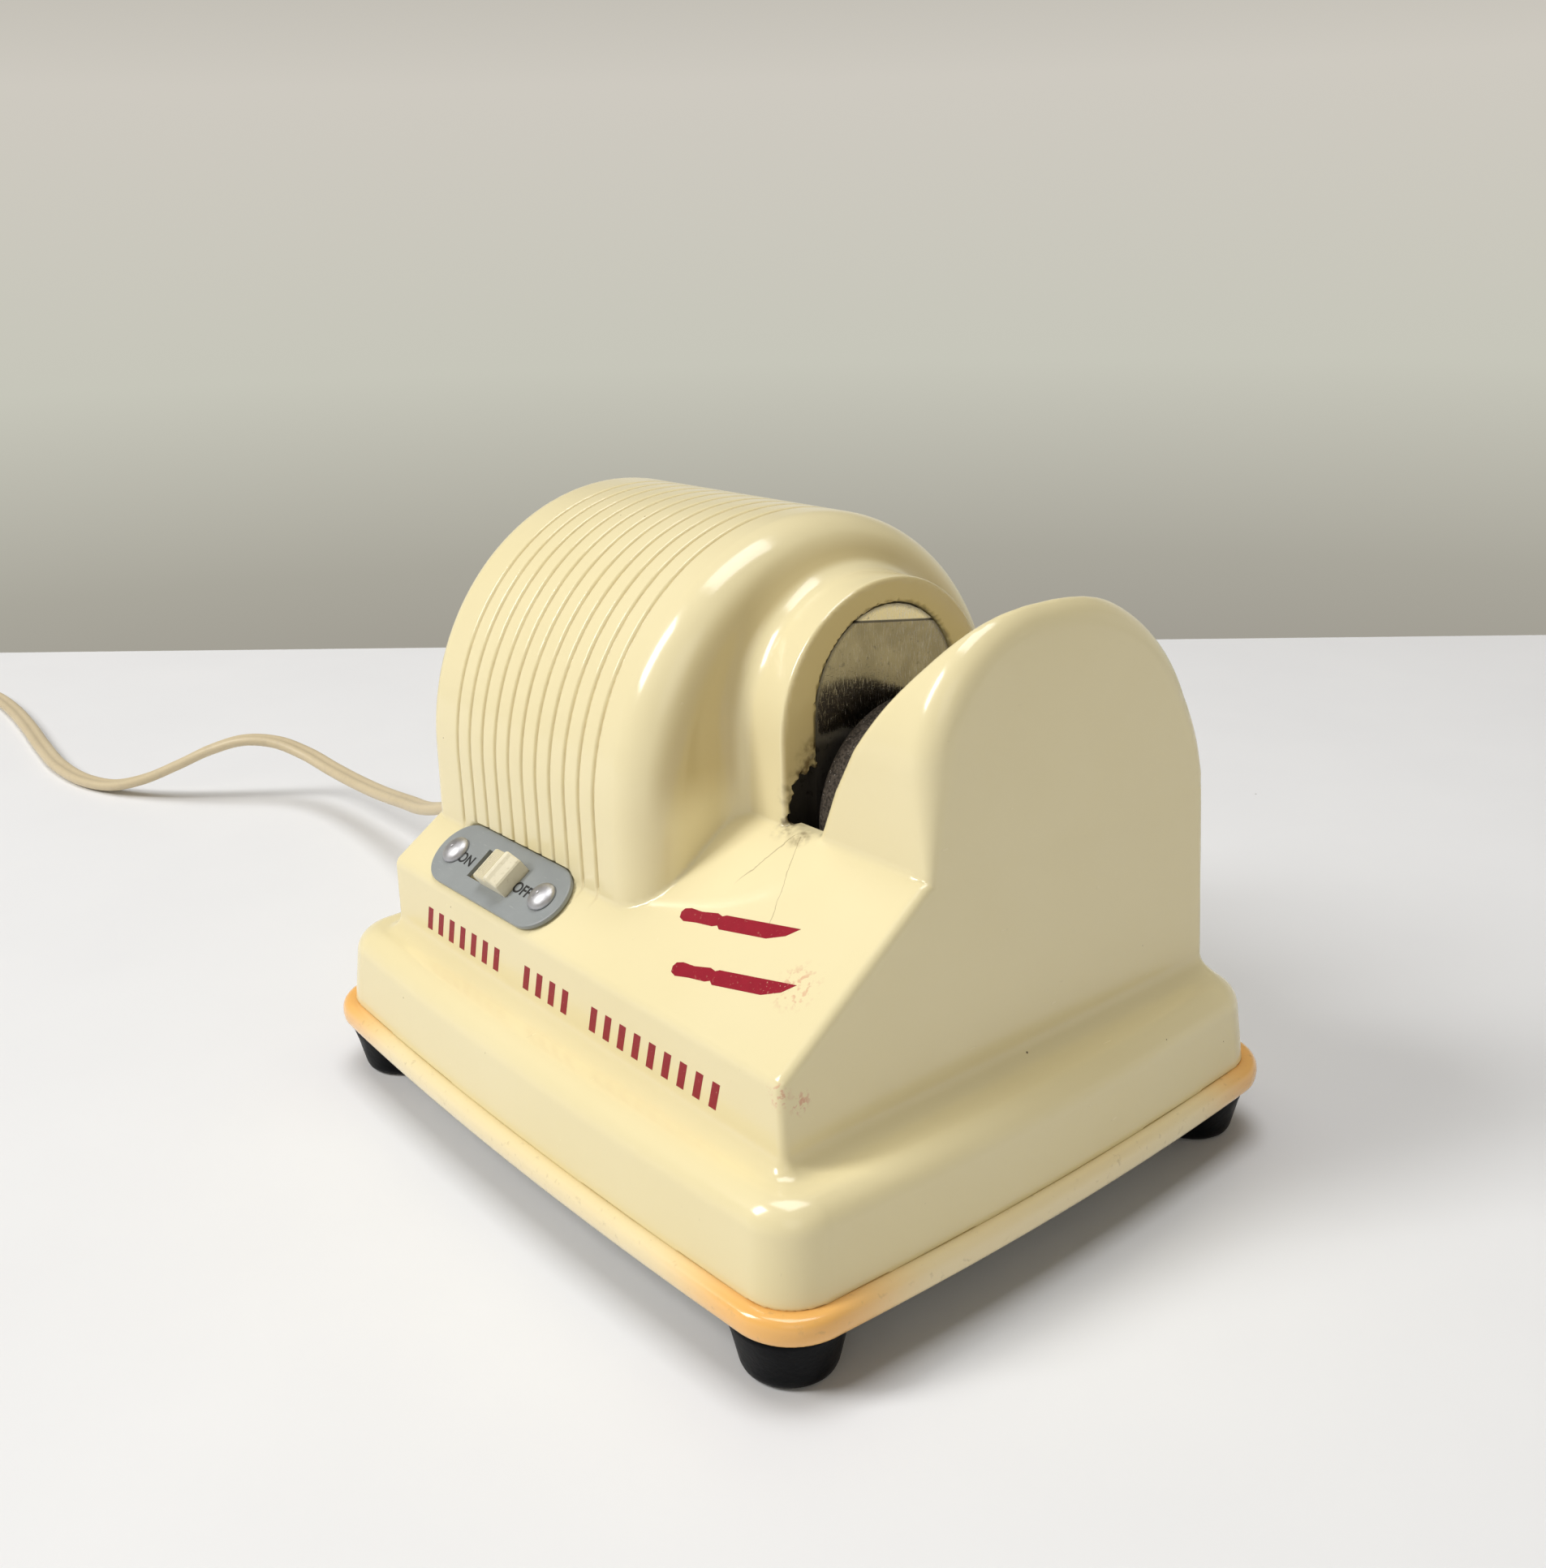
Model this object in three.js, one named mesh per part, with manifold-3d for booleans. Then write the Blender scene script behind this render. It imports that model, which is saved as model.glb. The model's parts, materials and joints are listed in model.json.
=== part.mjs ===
// Electric knife sharpener of the 1950s: an ivory housing with a grooved motor drum, a V-shaped
// knife slot beside the grinding wheel, a slide switch on the slope and a mains cord.
// Millimetres. +X runs along the motor shaft to the wheel end, -Y is the front, +Z is up.
// The origin is the middle of the base, on the surface that the feet stand on.
import * as THREE from "three";
import { mergeVertices } from "three/addons/utils/BufferGeometryUtils.js";
import Module from "manifold-3d";

const wasm = await Module();
wasm.setup();

// ---- Driving dimensions ----
const gap = 0.3; // between pieces that rest on or beside each other
const runGap = 0.08; // radial, between a shaft and its bearing
const wall = 2.4; // moulded housing wall
const sliver = 0.01; // detail smaller than this is dropped from a finished piece

const footHeight = 9.3;
const footTopR = 9;
const footBottomR = 7.2;
const footX = 57.5;
const footY = 46.5;
const plateThick = 1.5;
const beadHalfX = 70.3;
const beadHalfY = 58.5;
const beadHeight = 4;
const beadWidth = 3.6;
const ventPitch = 8;
const ventWidth = 3;
const sideBow = 3; // how far the middle of each side stands out past its ends
const skirtInset = 2.5; // from the bead's edge to the skirt
const skirtTop = 28.4;
const skirtRound = 3.5;
const cornerR = 10;

const bodyHalfX = 54.6;
const frontY = -45.4;
const backY = 48.4;
const slopeBottomZ = 42.3;
const slopeTopY = -16.3;
const deckZ = 63;
const bodyRound = 3;

const shaftY = 6.2;
const shaftZ = 62.3;
const drumHalf = 42.1;
const drumRise = 44.5;
const drumEndX = 11.7;
const drumRound = 8;
const drumLeftRound = 3;
const grooveCount = 11;
const grooveFirstX = -44.6;
const groovePitch = 4.33;
const grooveWidth = 1;
const grooveDepth = 0.6;

const bossR = 22.5;
const bossSpringZ = 76.3;
const bossFaceX = 23;
const windowR = 15.6;
const windowSpringZ = 79;
const guardFlat = 3.3; // level stretch on the guard's top
const guardBackR = 38.2;
const guardRound = 4.5;
const slotFootX = 31;
const slotLean = 0.5; // how far the guard's slot wall leans out for each millimetre up

const wheelR = 17.8;
const wheelWidth = 9;
const wheelGap = 1.8; // from the ring face to the wheel
const wheelClear = 1.8;
const flangeR = 8;
const flangeThick = 1.2;
const shaftR = 2.5;
const shaftStartX = -50;
const shaftEndX = 43;
const guideThick = 1;
const guidePinOffset = 17.6;
const guidePinZ = 78;
const guidePinR = 1.1;

const statorHalf = 30;
const statorTopZ = 84;
const statorBottomZ = 24;
const statorStartX = -26;
const statorLength = 20;
const limb = 12; // width of the stator's side and bottom limbs
const rotorR = 12.8;
const airGap = 0.5;
const coilThick = 8.5;
const bracketReach = 8; // how far each bearing bracket bridges past the stator
const sheet = 2; // bracket steel
const motorBoltY = 22;
const motorBoltR = 1.8;
const bearingR = 5;
const bearingLength = 8;
const fanR = 24;
const fanWidth = 8;
const fanBlades = 8;
const cradleSheet = 1.5;

const switchX = -25.4;
const switchPlateLength = 39;
const switchPlateWidth = 12.7;
const switchPlateThick = 0.8;
const rivetPitch = 28.6;
const rivetR = 2.75;
const sliderWidth = 8.2;
const sliderDepth = 6.2;
const sliderTravel = 4.4;
const sliderHeight = 4.6;

const cordR = 1.5;
const cordExitY = 0;
const cordExitZ = 35.6;
const reliefLength = 24;
const coilCentre = [-432, -78];
const coilInnerR = 20.4;
const coilOuterR = 36.8;
const coilHeight = 8.6;
const plugLength = 27;
const plugHeight = 10;
const bladePitch = 12.7;
const bladeLength = 17.5;

// ---- Materials ----
function finish(color, roughness, metalness = 0) {
  return new THREE.MeshStandardMaterial({ color, roughness, metalness });
}
const ivory = () => finish(0xf0e5bf, 0.25);
const amberVinyl = () => finish(0xefbd7c, 0.35);
const blackRubber = () => finish(0x15171d, 0.6);
const zincSteel = () => finish(0xb4b6b4, 0.35, 1);
const greyPaint = () => finish(0x8b9090, 0.45, 0.3);
const aluminium = () => finish(0xc2c4c4, 0.35, 1);
const scratchedSteel = () => finish(0x9a958a, 0.3, 1);
const grit = () => finish(0x4a423d, 0.9);
const siliconSteel = () => finish(0x6b6a68, 0.5, 0.9);
const copper = () => finish(0xa5552a, 0.4, 0.9);
const brass = () => finish(0xb8994e, 0.35, 1);
const phenolic = () => finish(0x3a2417, 0.5);
const bronze = () => finish(0x9c6b35, 0.5, 0.9);
const cordVinyl = () => finish(0xe6d2ac, 0.5);

// ---- Helpers: shapes, solids, booleans ----
function solid(geometry) {
  const bare = geometry.index ? geometry.toNonIndexed() : geometry.clone();
  bare.deleteAttribute("normal");
  bare.deleteAttribute("uv");
  const merged = mergeVertices(bare, 1e-4);
  return new wasm.Manifold(
    new wasm.Mesh({
      numProp: 3,
      vertProperties: new Float32Array(merged.attributes.position.array),
      triVerts: new Uint32Array(merged.index.array),
    }),
  );
}

function join(first, ...rest) {
  return rest.reduce((sum, next) => sum.add(next), first);
}

function cut(first, ...tools) {
  return tools.reduce((left, tool) => left.subtract(tool), first);
}

function place(geometry, x, y, z) {
  return solid(geometry.translate(x, y, z));
}

function box(x0, x1, y0, y1, z0, z1) {
  const geometry = new THREE.BoxGeometry(x1 - x0, y1 - y0, z1 - z0);
  return place(geometry, (x0 + x1) / 2, (y0 + y1) / 2, (z0 + z1) / 2);
}

// The outline's points with those that coincide dropped, so that the extrusion closes.
function plainOutline(shape, curve) {
  const points = shape.getPoints(curve);
  const kept = points.filter((p, i) => p.distanceTo(points.at(i - 1)) > 1e-3);
  return new THREE.Shape(kept);
}

// An extrusion whose edges at both ends are rounded inside the outline.
function extrude(shape, length, round, steps, curve) {
  const geometry = new THREE.ExtrudeGeometry(plainOutline(shape, curve), {
    depth: length - 2 * round,
    bevelEnabled: round > 0,
    bevelThickness: round,
    bevelSize: round,
    bevelOffset: -round,
    bevelSegments: steps,
  });
  return geometry.translate(0, 0, round);
}

// Extrudes a shape drawn in Y and Z along X.
function alongX(shape, x0, x1, round = 0, steps = 3, curve = 9) {
  const geometry = extrude(shape, x1 - x0, round, steps, curve);
  const turn = new THREE.Matrix4().makeBasis(
    new THREE.Vector3(0, 1, 0),
    new THREE.Vector3(0, 0, 1),
    new THREE.Vector3(1, 0, 0),
  );
  return place(geometry.applyMatrix4(turn), x0, 0, 0);
}

function alongZ(shape, z0, z1, round = 0, steps = 2, curve = 4) {
  return place(extrude(shape, z1 - z0, round, steps, curve), 0, 0, z0);
}

function rodX(x0, x1, r, sides = 20, y = shaftY, z = shaftZ) {
  const geometry = new THREE.CylinderGeometry(r, r, x1 - x0, sides).rotateZ(Math.PI / 2);
  return place(geometry, (x0 + x1) / 2, y, z);
}

function rodZ(z0, z1, r, x, y, sides = 16) {
  const geometry = new THREE.CylinderGeometry(r, r, z1 - z0, sides).rotateX(Math.PI / 2);
  return place(geometry, x, y, (z0 + z1) / 2);
}

// A turned solid about the Z axis, from a closed profile of radius and height.
function turned(profile, sides = 24) {
  const closed = [...profile, profile[0]];
  const points = closed.map(([r, z]) => new THREE.Vector2(r, z));
  return solid(new THREE.LatheGeometry(points, sides).rotateX(Math.PI / 2));
}

function polygon(points) {
  return new THREE.Shape(points.map(([a, b]) => new THREE.Vector2(a, b)));
}

// A rectangle with round corners whose sides bow outwards.
function bowedOutline(halfX, halfY, corner, bow) {
  const shape = new THREE.Shape();
  const cx = halfX - bow - corner;
  const cy = halfY - bow - corner;
  shape.moveTo(-cx, -halfY + bow);
  shape.quadraticCurveTo(0, -halfY - bow, cx, -halfY + bow);
  shape.absarc(cx, -cy, corner, -Math.PI / 2, 0);
  shape.quadraticCurveTo(halfX + bow, 0, halfX - bow, cy);
  shape.absarc(cx, cy, corner, 0, Math.PI / 2);
  shape.quadraticCurveTo(0, halfY + bow, -cx, halfY - bow);
  shape.absarc(-cx, cy, corner, Math.PI / 2, Math.PI);
  shape.quadraticCurveTo(-halfX - bow, 0, -halfX + bow, -cy);
  shape.absarc(-cx, -cy, corner, Math.PI, 1.5 * Math.PI);
  return shape;
}

function stadium(length, width) {
  const shape = new THREE.Shape();
  const straight = (length - width) / 2;
  shape.absarc(straight, 0, width / 2, -Math.PI / 2, Math.PI / 2);
  shape.absarc(-straight, 0, width / 2, Math.PI / 2, 1.5 * Math.PI);
  return shape;
}

// An upright arch: straight sides from the foot to the springing, then a half ellipse.
function arch(y, half, springZ, rise, footZ) {
  const shape = new THREE.Shape();
  shape.moveTo(y - half, footZ);
  shape.lineTo(y + half, footZ);
  shape.lineTo(y + half, springZ);
  shape.absellipse(y, springZ, half, rise, 0, Math.PI);
  shape.closePath();
  return shape;
}

// The cuts leave a few slivers far thinner than any real feature, which are merged away here.
function mesh(name, body, material) {
  const data = body.simplify(sliver).getMesh();
  const geometry = new THREE.BufferGeometry();
  const corners = new Float32Array(data.numVert * 3);
  for (let i = 0; i < data.numVert; i++) {
    corners.set(data.vertProperties.subarray(i * data.numProp, i * data.numProp + 3), i * 3);
  }
  geometry.setAttribute("position", new THREE.BufferAttribute(corners, 3));
  geometry.setIndex(new THREE.BufferAttribute(data.triVerts, 1));
  geometry.computeVertexNormals();
  const made = new THREE.Mesh(geometry, material);
  made.name = name;
  return made;
}

const sharpener = new THREE.Group();
const add = (name, body, material) => sharpener.add(mesh(name, body, material));

// ---- Places worked out from the driving dimensions ----
const plateBottom = footHeight + gap;
const plateTop = plateBottom + plateThick;
const beadTop = plateBottom + beadHeight;
const skirtBottom = beadTop + gap;
const skirtHalfX = beadHalfX - skirtInset;
const skirtHalfY = beadHalfY - skirtInset;
const slope = (deckZ - slopeBottomZ) / (slopeTopY - frontY);
const slopeAngle = Math.atan(slope);
const ringFaceBack = bossFaceX - wall;
const wheelStart = bossFaceX + wheelGap;
const wheelEnd = wheelStart + wheelWidth;
const statorEndX = statorStartX + statorLength;
const drumStartX = -bodyHalfX;
const plateFace = gap + switchPlateThick;
const rivetXs = [-rivetPitch / 2, rivetPitch / 2];
const statorMidX = statorStartX + statorLength / 2;
const cradleFrontY = shaftY - statorHalf + limb / 2;
const cradleBackY = shaftY + statorHalf - limb / 2;
const guidePinYs = [shaftY - guidePinOffset, shaftY + guidePinOffset];
const guideBack = ringFaceBack - gap - guideThick;

// ---- Housing: one moulding, open underneath ----
// Front wall, slope and deck, drawn in Y and Z and set in by the given amount.
function bodyProfile(inset, footZ) {
  const front = frontY + inset;
  const drop = inset / Math.cos(slopeAngle);
  const slopeAt = (y) => deckZ - drop + slope * (y - slopeTopY);
  const deckStart = slopeTopY + (drop - inset) / slope;
  return polygon([
    [front, footZ],
    [backY - inset, footZ],
    [backY - inset, deckZ - inset],
    [deckStart, deckZ - inset],
    [front, slopeAt(front)],
  ]);
}

function drumArch(inset, footZ) {
  return arch(shaftY, drumHalf - inset, shaftZ, drumRise - inset, footZ);
}

// The guard over the wheel: a tight front shoulder, a short flat and a wide back shoulder.
function guardArch(inset, footZ) {
  const top = bossSpringZ + bossR;
  const flatEnd = shaftY + guardFlat;
  const shape = new THREE.Shape();
  shape.moveTo(shaftY - bossR + inset, footZ);
  shape.lineTo(flatEnd + guardBackR - inset, footZ);
  shape.lineTo(flatEnd + guardBackR - inset, top - guardBackR);
  shape.absarc(flatEnd, top - guardBackR, guardBackR - inset, 0, Math.PI / 2);
  shape.absarc(shaftY, bossSpringZ, bossR - inset, Math.PI / 2, Math.PI);
  shape.closePath();
  return shape;
}

// Everything on the slot side of the guard's leaning wall, drawn in X and Z.
function slotSide(offset) {
  const reach = 50;
  const foot = slotFootX + offset;
  const shape = polygon([
    [bossFaceX - reach, deckZ],
    [foot, deckZ],
    [foot + slotLean * reach, deckZ + reach],
    [bossFaceX - reach, deckZ + reach],
  ]);
  const geometry = extrude(shape, 4 * reach, 0, 1, 1).rotateX(Math.PI / 2);
  return place(geometry, 0, 2 * reach, 0);
}

// One shallow groove round the drum, which stops where the drum meets the slope.
function drumGroove(index) {
  const middle = grooveFirstX + index * groovePitch;
  const start = middle - grooveWidth / 2;
  const end = middle + grooveWidth / 2;
  const outside = alongX(drumArch(-2, slopeBottomZ), start, end, 0, 1, 9);
  const inside = alongX(drumArch(grooveDepth, slopeBottomZ - 5), start - 1, end + 1, 0, 1, 9);
  const underSlope = alongX(bodyProfile(-0.01, 0), start - 1, end + 1);
  return cut(outside, inside, underSlope);
}

function housing() {
  const skirt = alongZ(
    bowedOutline(skirtHalfX, skirtHalfY, cornerR, sideBow),
    skirtBottom - 2 * skirtRound,
    skirtTop,
    skirtRound,
  );
  const skirtHollow = alongZ(
    bowedOutline(skirtHalfX - wall, skirtHalfY - wall, cornerR - wall, sideBow),
    0,
    skirtTop - wall,
  );
  const lower = alongX(bodyProfile(0, skirtTop - 6), -bodyHalfX, bodyHalfX, bodyRound, 2);
  const lowerHollow = alongX(bodyProfile(wall, 0), -bodyHalfX + wall, bodyHalfX - wall);

  const drum = join(
    alongX(drumArch(0, deckZ - 25), drumStartX + 15, drumEndX, drumRound, 4),
    alongX(drumArch(0, deckZ - 25), drumStartX, drumEndX - 15, drumLeftRound, 2),
  );
  const drumHollow = alongX(
    drumArch(wall, slopeBottomZ),
    drumStartX + wall,
    drumEndX - wall,
    drumRound - wall,
    2,
  );
  // The drum stands on the slope, so its straight sides are trimmed to the housing's own width.
  const underDrum = box(-100, 100, -100, 100, 0, skirtTop - 4);

  const boss = alongX(arch(shaftY, bossR, bossSpringZ, bossR, deckZ - 5), 0, bossFaceX);
  const bossHollow = alongX(
    arch(shaftY, bossR - wall, bossSpringZ, bossR - wall, deckZ - 2 * wall),
    0,
    ringFaceBack,
  );
  const window = alongX(
    arch(shaftY, windowR, windowSpringZ, windowR, deckZ - 2 * wall),
    ringFaceBack - 1,
    bossFaceX + 1,
  );

  const slantWall = wall * Math.hypot(1, slotLean);
  const guard = cut(
    alongX(guardArch(0, deckZ - 15), drumEndX, bodyHalfX, guardRound, 3),
    slotSide(0),
  );
  const guardHollow = cut(
    alongX(
      guardArch(wall, deckZ - 15),
      slotFootX + slantWall,
      bodyHalfX - wall,
      guardRound - wall,
      2,
    ),
    slotSide(slantWall + 0.05),
  );
  const wheelPocket = rodX(bossFaceX - 0.1, wheelEnd + wheelClear, wheelR + wheelClear, 40);
  const ringRelief = rodX(ringFaceBack - 0.1, bossFaceX + 0.1, bossR - 1.1, 40);

  // The slider's opening, and the shallow recess that lets the plate tuck into the drum's foot.
  const switchCut = join(
    box(-7.6, 7.6, -4.4, 4.4, -5, 5),
    alongZ(
      stadium(switchPlateLength + 2 * gap, switchPlateWidth + 2 * gap),
      0.02,
      plateFace + gap,
    ),
    ...rivetXs.map((x) => rodZ(-5, 1, 1.6, x, 0, 12)),
  )
    .rotate([(slopeAngle * 180) / Math.PI, 0, 0])
    .translate(switchOrigin());
  const cordHole = rodX(-bodyHalfX - 1, -bodyHalfX + 2 * wall, 4.6, 20, cordExitY, cordExitZ);

  const grooves = [];
  for (let i = 0; i < grooveCount; i++) grooves.push(drumGroove(i));

  const shell = cut(
    join(skirt, lower, cut(drum, underDrum), boss, guard),
    box(-100, 100, -100, 100, -10, skirtBottom),
    skirtHollow,
    lowerHollow,
    drumHollow,
    bossHollow,
    window,
    guardHollow,
    wheelPocket,
    ringRelief,
    switchCut,
    cordHole,
    ...grooves,
  );
  const posts = [];
  for (const [x, y] of corners()) {
    const post = rodZ(plateTop + gap, skirtTop - wall + 0.2, 4, x, y);
    posts.push(cut(post, rodZ(0, skirtTop - 2 * wall, 1.8, x, y, 12)));
  }
  const guidePins = guidePinYs.map((y) =>
    rodX(guideBack - 1.6, ringFaceBack + 0.5, guidePinR, 12, y, guidePinZ),
  );
  return join(shell, ...posts, ...guidePins);
}

function corners() {
  return [
    [-footX, -footY],
    [footX, -footY],
    [footX, footY],
    [-footX, footY],
  ];
}

// Where the switch plate's middle sits on the slope.
function switchOrigin() {
  const y = (frontY + slopeTopY) / 2 - 9;
  return [switchX, y, deckZ + slope * (y - slopeTopY)];
}

add("housing", housing(), ivory());

// ---- Base: amber vinyl edging, steel plate, rubber feet and their screws ----
function vents() {
  const slots = [];
  for (let i = -4; i <= 4; i++) {
    slots.push(box(i * ventPitch - ventWidth / 2, i * ventPitch + ventWidth / 2, -46, -34, 0, 20));
  }
  return slots;
}

const edging = cut(
  alongZ(bowedOutline(beadHalfX, beadHalfY, cornerR + 2, sideBow), plateBottom, beadTop, 1.6, 2),
  alongZ(
    bowedOutline(beadHalfX - beadWidth, beadHalfY - beadWidth, cornerR - 0.5, sideBow),
    0,
    beadTop + 1,
  ),
);
add("base_edging", edging, amberVinyl());

const plateHoles = corners().map(([x, y]) => rodZ(0, 20, 1.9, x, y, 12));
const cradleHoles = [cradleFrontY, cradleBackY].map((y) => rodZ(0, 20, 1.9, statorMidX, y, 12));
const basePlate = cut(
  alongZ(
    bowedOutline(
      beadHalfX - beadWidth - gap,
      beadHalfY - beadWidth - gap,
      cornerR - 0.8,
      sideBow,
    ),
    plateBottom,
    plateTop,
  ),
  ...plateHoles,
  ...cradleHoles,
  ...vents(),
);
add("base_plate", basePlate, zincSteel());

const footProfile = [
  [3.6, 0],
  [footBottomR - 1.4, 0],
  [footBottomR - 0.4, 0.4],
  [footBottomR, 1.4],
  [footTopR, footHeight - 1],
  [footTopR - 0.6, footHeight],
  [1.9, footHeight],
  [1.9, 5.6],
  [3.6, 5.6],
];
const footScrewProfile = [
  [0, 3.4],
  [1.8, 3.4],
  [3.1, 4.2],
  [3.1, 5.4],
  [1.5, 5.4],
  [1.5, skirtTop - 2 * wall - 1],
  [0, skirtTop - 2 * wall - 0.4],
];
corners().forEach(([x, y], i) => {
  const foot = turned(footProfile, 18).translate([x, y, 0]);
  add(`foot_${i + 1}`, foot, blackRubber());
  add(`foot_screw_${i + 1}`, turned(footScrewProfile, 12).translate([x, y, 0]), zincSteel());
});

// ---- Switch: grey plate, two rivets, a slider, and its steel frame under the slope ----
const switchGroup = new THREE.Group();
switchGroup.position.set(...switchOrigin());
switchGroup.rotation.x = slopeAngle;
sharpener.add(switchGroup);
const addToSwitch = (name, body, material) => switchGroup.add(mesh(name, body, material));

const windowX = sliderWidth + sliderTravel + 2 * gap;
const windowY = sliderDepth + 2 * gap;
const rivetHoles = rivetXs.map((x) => rodZ(-20, 20, 1.5, x, 0, 12));
const switchPlate = cut(
  alongZ(stadium(switchPlateLength, switchPlateWidth), gap, plateFace),
  box(-windowX / 2, windowX / 2, -windowY / 2, windowY / 2, -1, 5),
  ...rivetHoles,
);
addToSwitch("switch_plate", switchPlate, greyPaint());

const frameTop = -wall - gap;
const frameDepth = 7;
const frameHalfX = 11;
const frameHalfY = 5.6;
const frameSheet = 0.8;
const tabs = box(-rivetPitch / 2 - 3.5, rivetPitch / 2 + 3.5, -4, 4, frameTop - frameSheet, frameTop);
const cage = cut(
  box(-frameHalfX, frameHalfX, -frameHalfY, frameHalfY, frameTop - frameDepth, frameTop),
  box(
    -frameHalfX + frameSheet,
    frameHalfX - frameSheet,
    -frameHalfY + frameSheet,
    frameHalfY - frameSheet,
    frameTop - frameDepth - 1,
    frameTop - frameSheet,
  ),
);
const switchFrame = cut(
  join(tabs, cage),
  box(-windowX / 2, windowX / 2, -windowY / 2, windowY / 2, frameTop - 2, 5),
  ...rivetHoles,
);
addToSwitch("switch_frame", switchFrame, zincSteel());

const innerHalfX = frameHalfX - frameSheet - gap;
const innerHalfY = frameHalfY - frameSheet - gap;
const insulatorTop = frameTop - frameDepth + 2;
const insulatorBottom = insulatorTop - 3.2;
const terminalXs = [-6, 6];
const insulator = cut(
  box(-innerHalfX, innerHalfX, -innerHalfY, innerHalfY, insulatorBottom, insulatorTop),
  ...terminalXs.map((x) => box(x - 2.3, x + 2.3, -0.7, 0.7, insulatorBottom - 1, insulatorTop + 1)),
);
addToSwitch("switch_insulator", insulator, phenolic());
terminalXs.forEach((x, i) => {
  const blade = box(x - 2, x + 2, -0.4, 0.4, insulatorBottom - 5, insulatorTop - 0.2);
  const eye = solid(new THREE.CylinderGeometry(0.9, 0.9, 4, 10)).translate([x, 0, insulatorBottom - 3]);
  addToSwitch(`switch_terminal_${i + 1}`, cut(blade, eye), brass());
});

// The slider rests at OFF, the right-hand end of its window.
const sliderX = sliderTravel / 2;
const knobTop = plateFace + sliderHeight;
const ribs = [];
for (let i = -3; i <= 2; i++) {
  const x = sliderX + i * 1.05;
  ribs.push(box(x - 0.2, x + 0.2, -10, 10, knobTop - 1.7 + 0.1 * i, knobTop + 1));
}
const knobSide = polygon([
  [-sliderWidth / 2, frameTop - frameSheet - gap],
  [sliderWidth / 2, frameTop - frameSheet - gap],
  [sliderWidth / 2, knobTop - 1.2],
  [sliderWidth / 2 - 1, knobTop],
  [sliderWidth / 2 - 2, knobTop],
  [-sliderWidth / 2 + 0.8, knobTop - 1.1],
  [-sliderWidth / 2, knobTop - 1.9],
]);
const knob = solid(
  extrude(knobSide, sliderDepth, 0, 1, 1).rotateX(Math.PI / 2).translate(sliderX, sliderDepth / 2, 0),
);
const carriage = box(
  sliderX - sliderWidth / 2 - 2.2,
  sliderX + sliderWidth / 2 + 2.2 - sliderTravel / 2,
  -innerHalfY,
  innerHalfY,
  insulatorTop + gap,
  frameTop - frameSheet - gap,
);
addToSwitch("switch_slider", join(cut(knob, ...ribs), carriage), ivory());

rivetXs.forEach((x, i) => {
  const profile = [
    [0, frameTop - frameSheet - 1.2],
    [2.2, frameTop - frameSheet - 1.2],
    [2.2, frameTop - frameSheet - gap],
    [1.3, frameTop - frameSheet - gap],
    [1.3, plateFace + 0.1],
    [rivetR, plateFace + 0.1],
    [rivetR * 0.9, plateFace + 0.7],
    [rivetR * 0.55, plateFace + 1.25],
    [0, plateFace + 1.5],
  ];
  addToSwitch(`switch_rivet_${i + 1}`, turned(profile, 20).translate([x, 0, 0]), aluminium());
});

// ---- Blade guide: a pressed steel sheet behind the ring face, raised through the window ----
const guideArch = (half, footZ) => arch(shaftY, half, windowSpringZ, half, footZ);
const raisedR = windowR - gap;
const guideFlange = alongX(
  arch(shaftY, bossR - wall - 0.7, bossSpringZ, bossR - wall - 0.7, shaftZ - 14),
  guideBack,
  ringFaceBack - gap,
);
const guide = cut(
  join(guideFlange, alongX(guideArch(raisedR, shaftZ - 10), guideBack, bossFaceX - 2 * gap)),
  alongX(
    guideArch(raisedR - guideThick, shaftZ - 10 + guideThick),
    guideBack - 1,
    bossFaceX - 2 * gap - guideThick,
  ),
  rodX(0, 60, 7, 24),
  ...guidePinYs.map((y) => rodX(0, 60, guidePinR + 0.2, 12, y, guidePinZ)),
);
add("blade_guide_plate", guide, scratchedSteel());
guidePinYs.forEach((y, i) => {
  const clip = cut(
    rodX(guideBack - 0.9, guideBack - 0.2, 2.3, 16, y, guidePinZ),
    rodX(0, 60, guidePinR + 0.1, 12, y, guidePinZ),
  );
  add(`guide_clip_${i + 1}`, clip, zincSteel());
});

// ---- Motor: skeleton shaded-pole stator with one coil, rotor, brackets and bearings ----
const boltYs = [shaftY - motorBoltY, shaftY + motorBoltY];
const boltHoles = boltYs.map((y) => rodX(-100, 100, motorBoltR + 0.25, 14, y));
const limbTop = statorBottomZ + limb;
const poleBottom = shaftZ - rotorR - airGap - 2.6;
const statorCore = cut(
  box(
    statorStartX,
    statorEndX,
    shaftY - statorHalf,
    shaftY + statorHalf,
    statorBottomZ,
    statorTopZ,
  ),
  box(
    statorStartX - 1,
    statorEndX + 1,
    shaftY - statorHalf + limb,
    shaftY + statorHalf - limb,
    limbTop,
    poleBottom,
  ),
  rodX(-100, 100, rotorR + airGap, 40),
  ...boltHoles,
);
add("stator_core", statorCore, siliconSteel());

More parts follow.
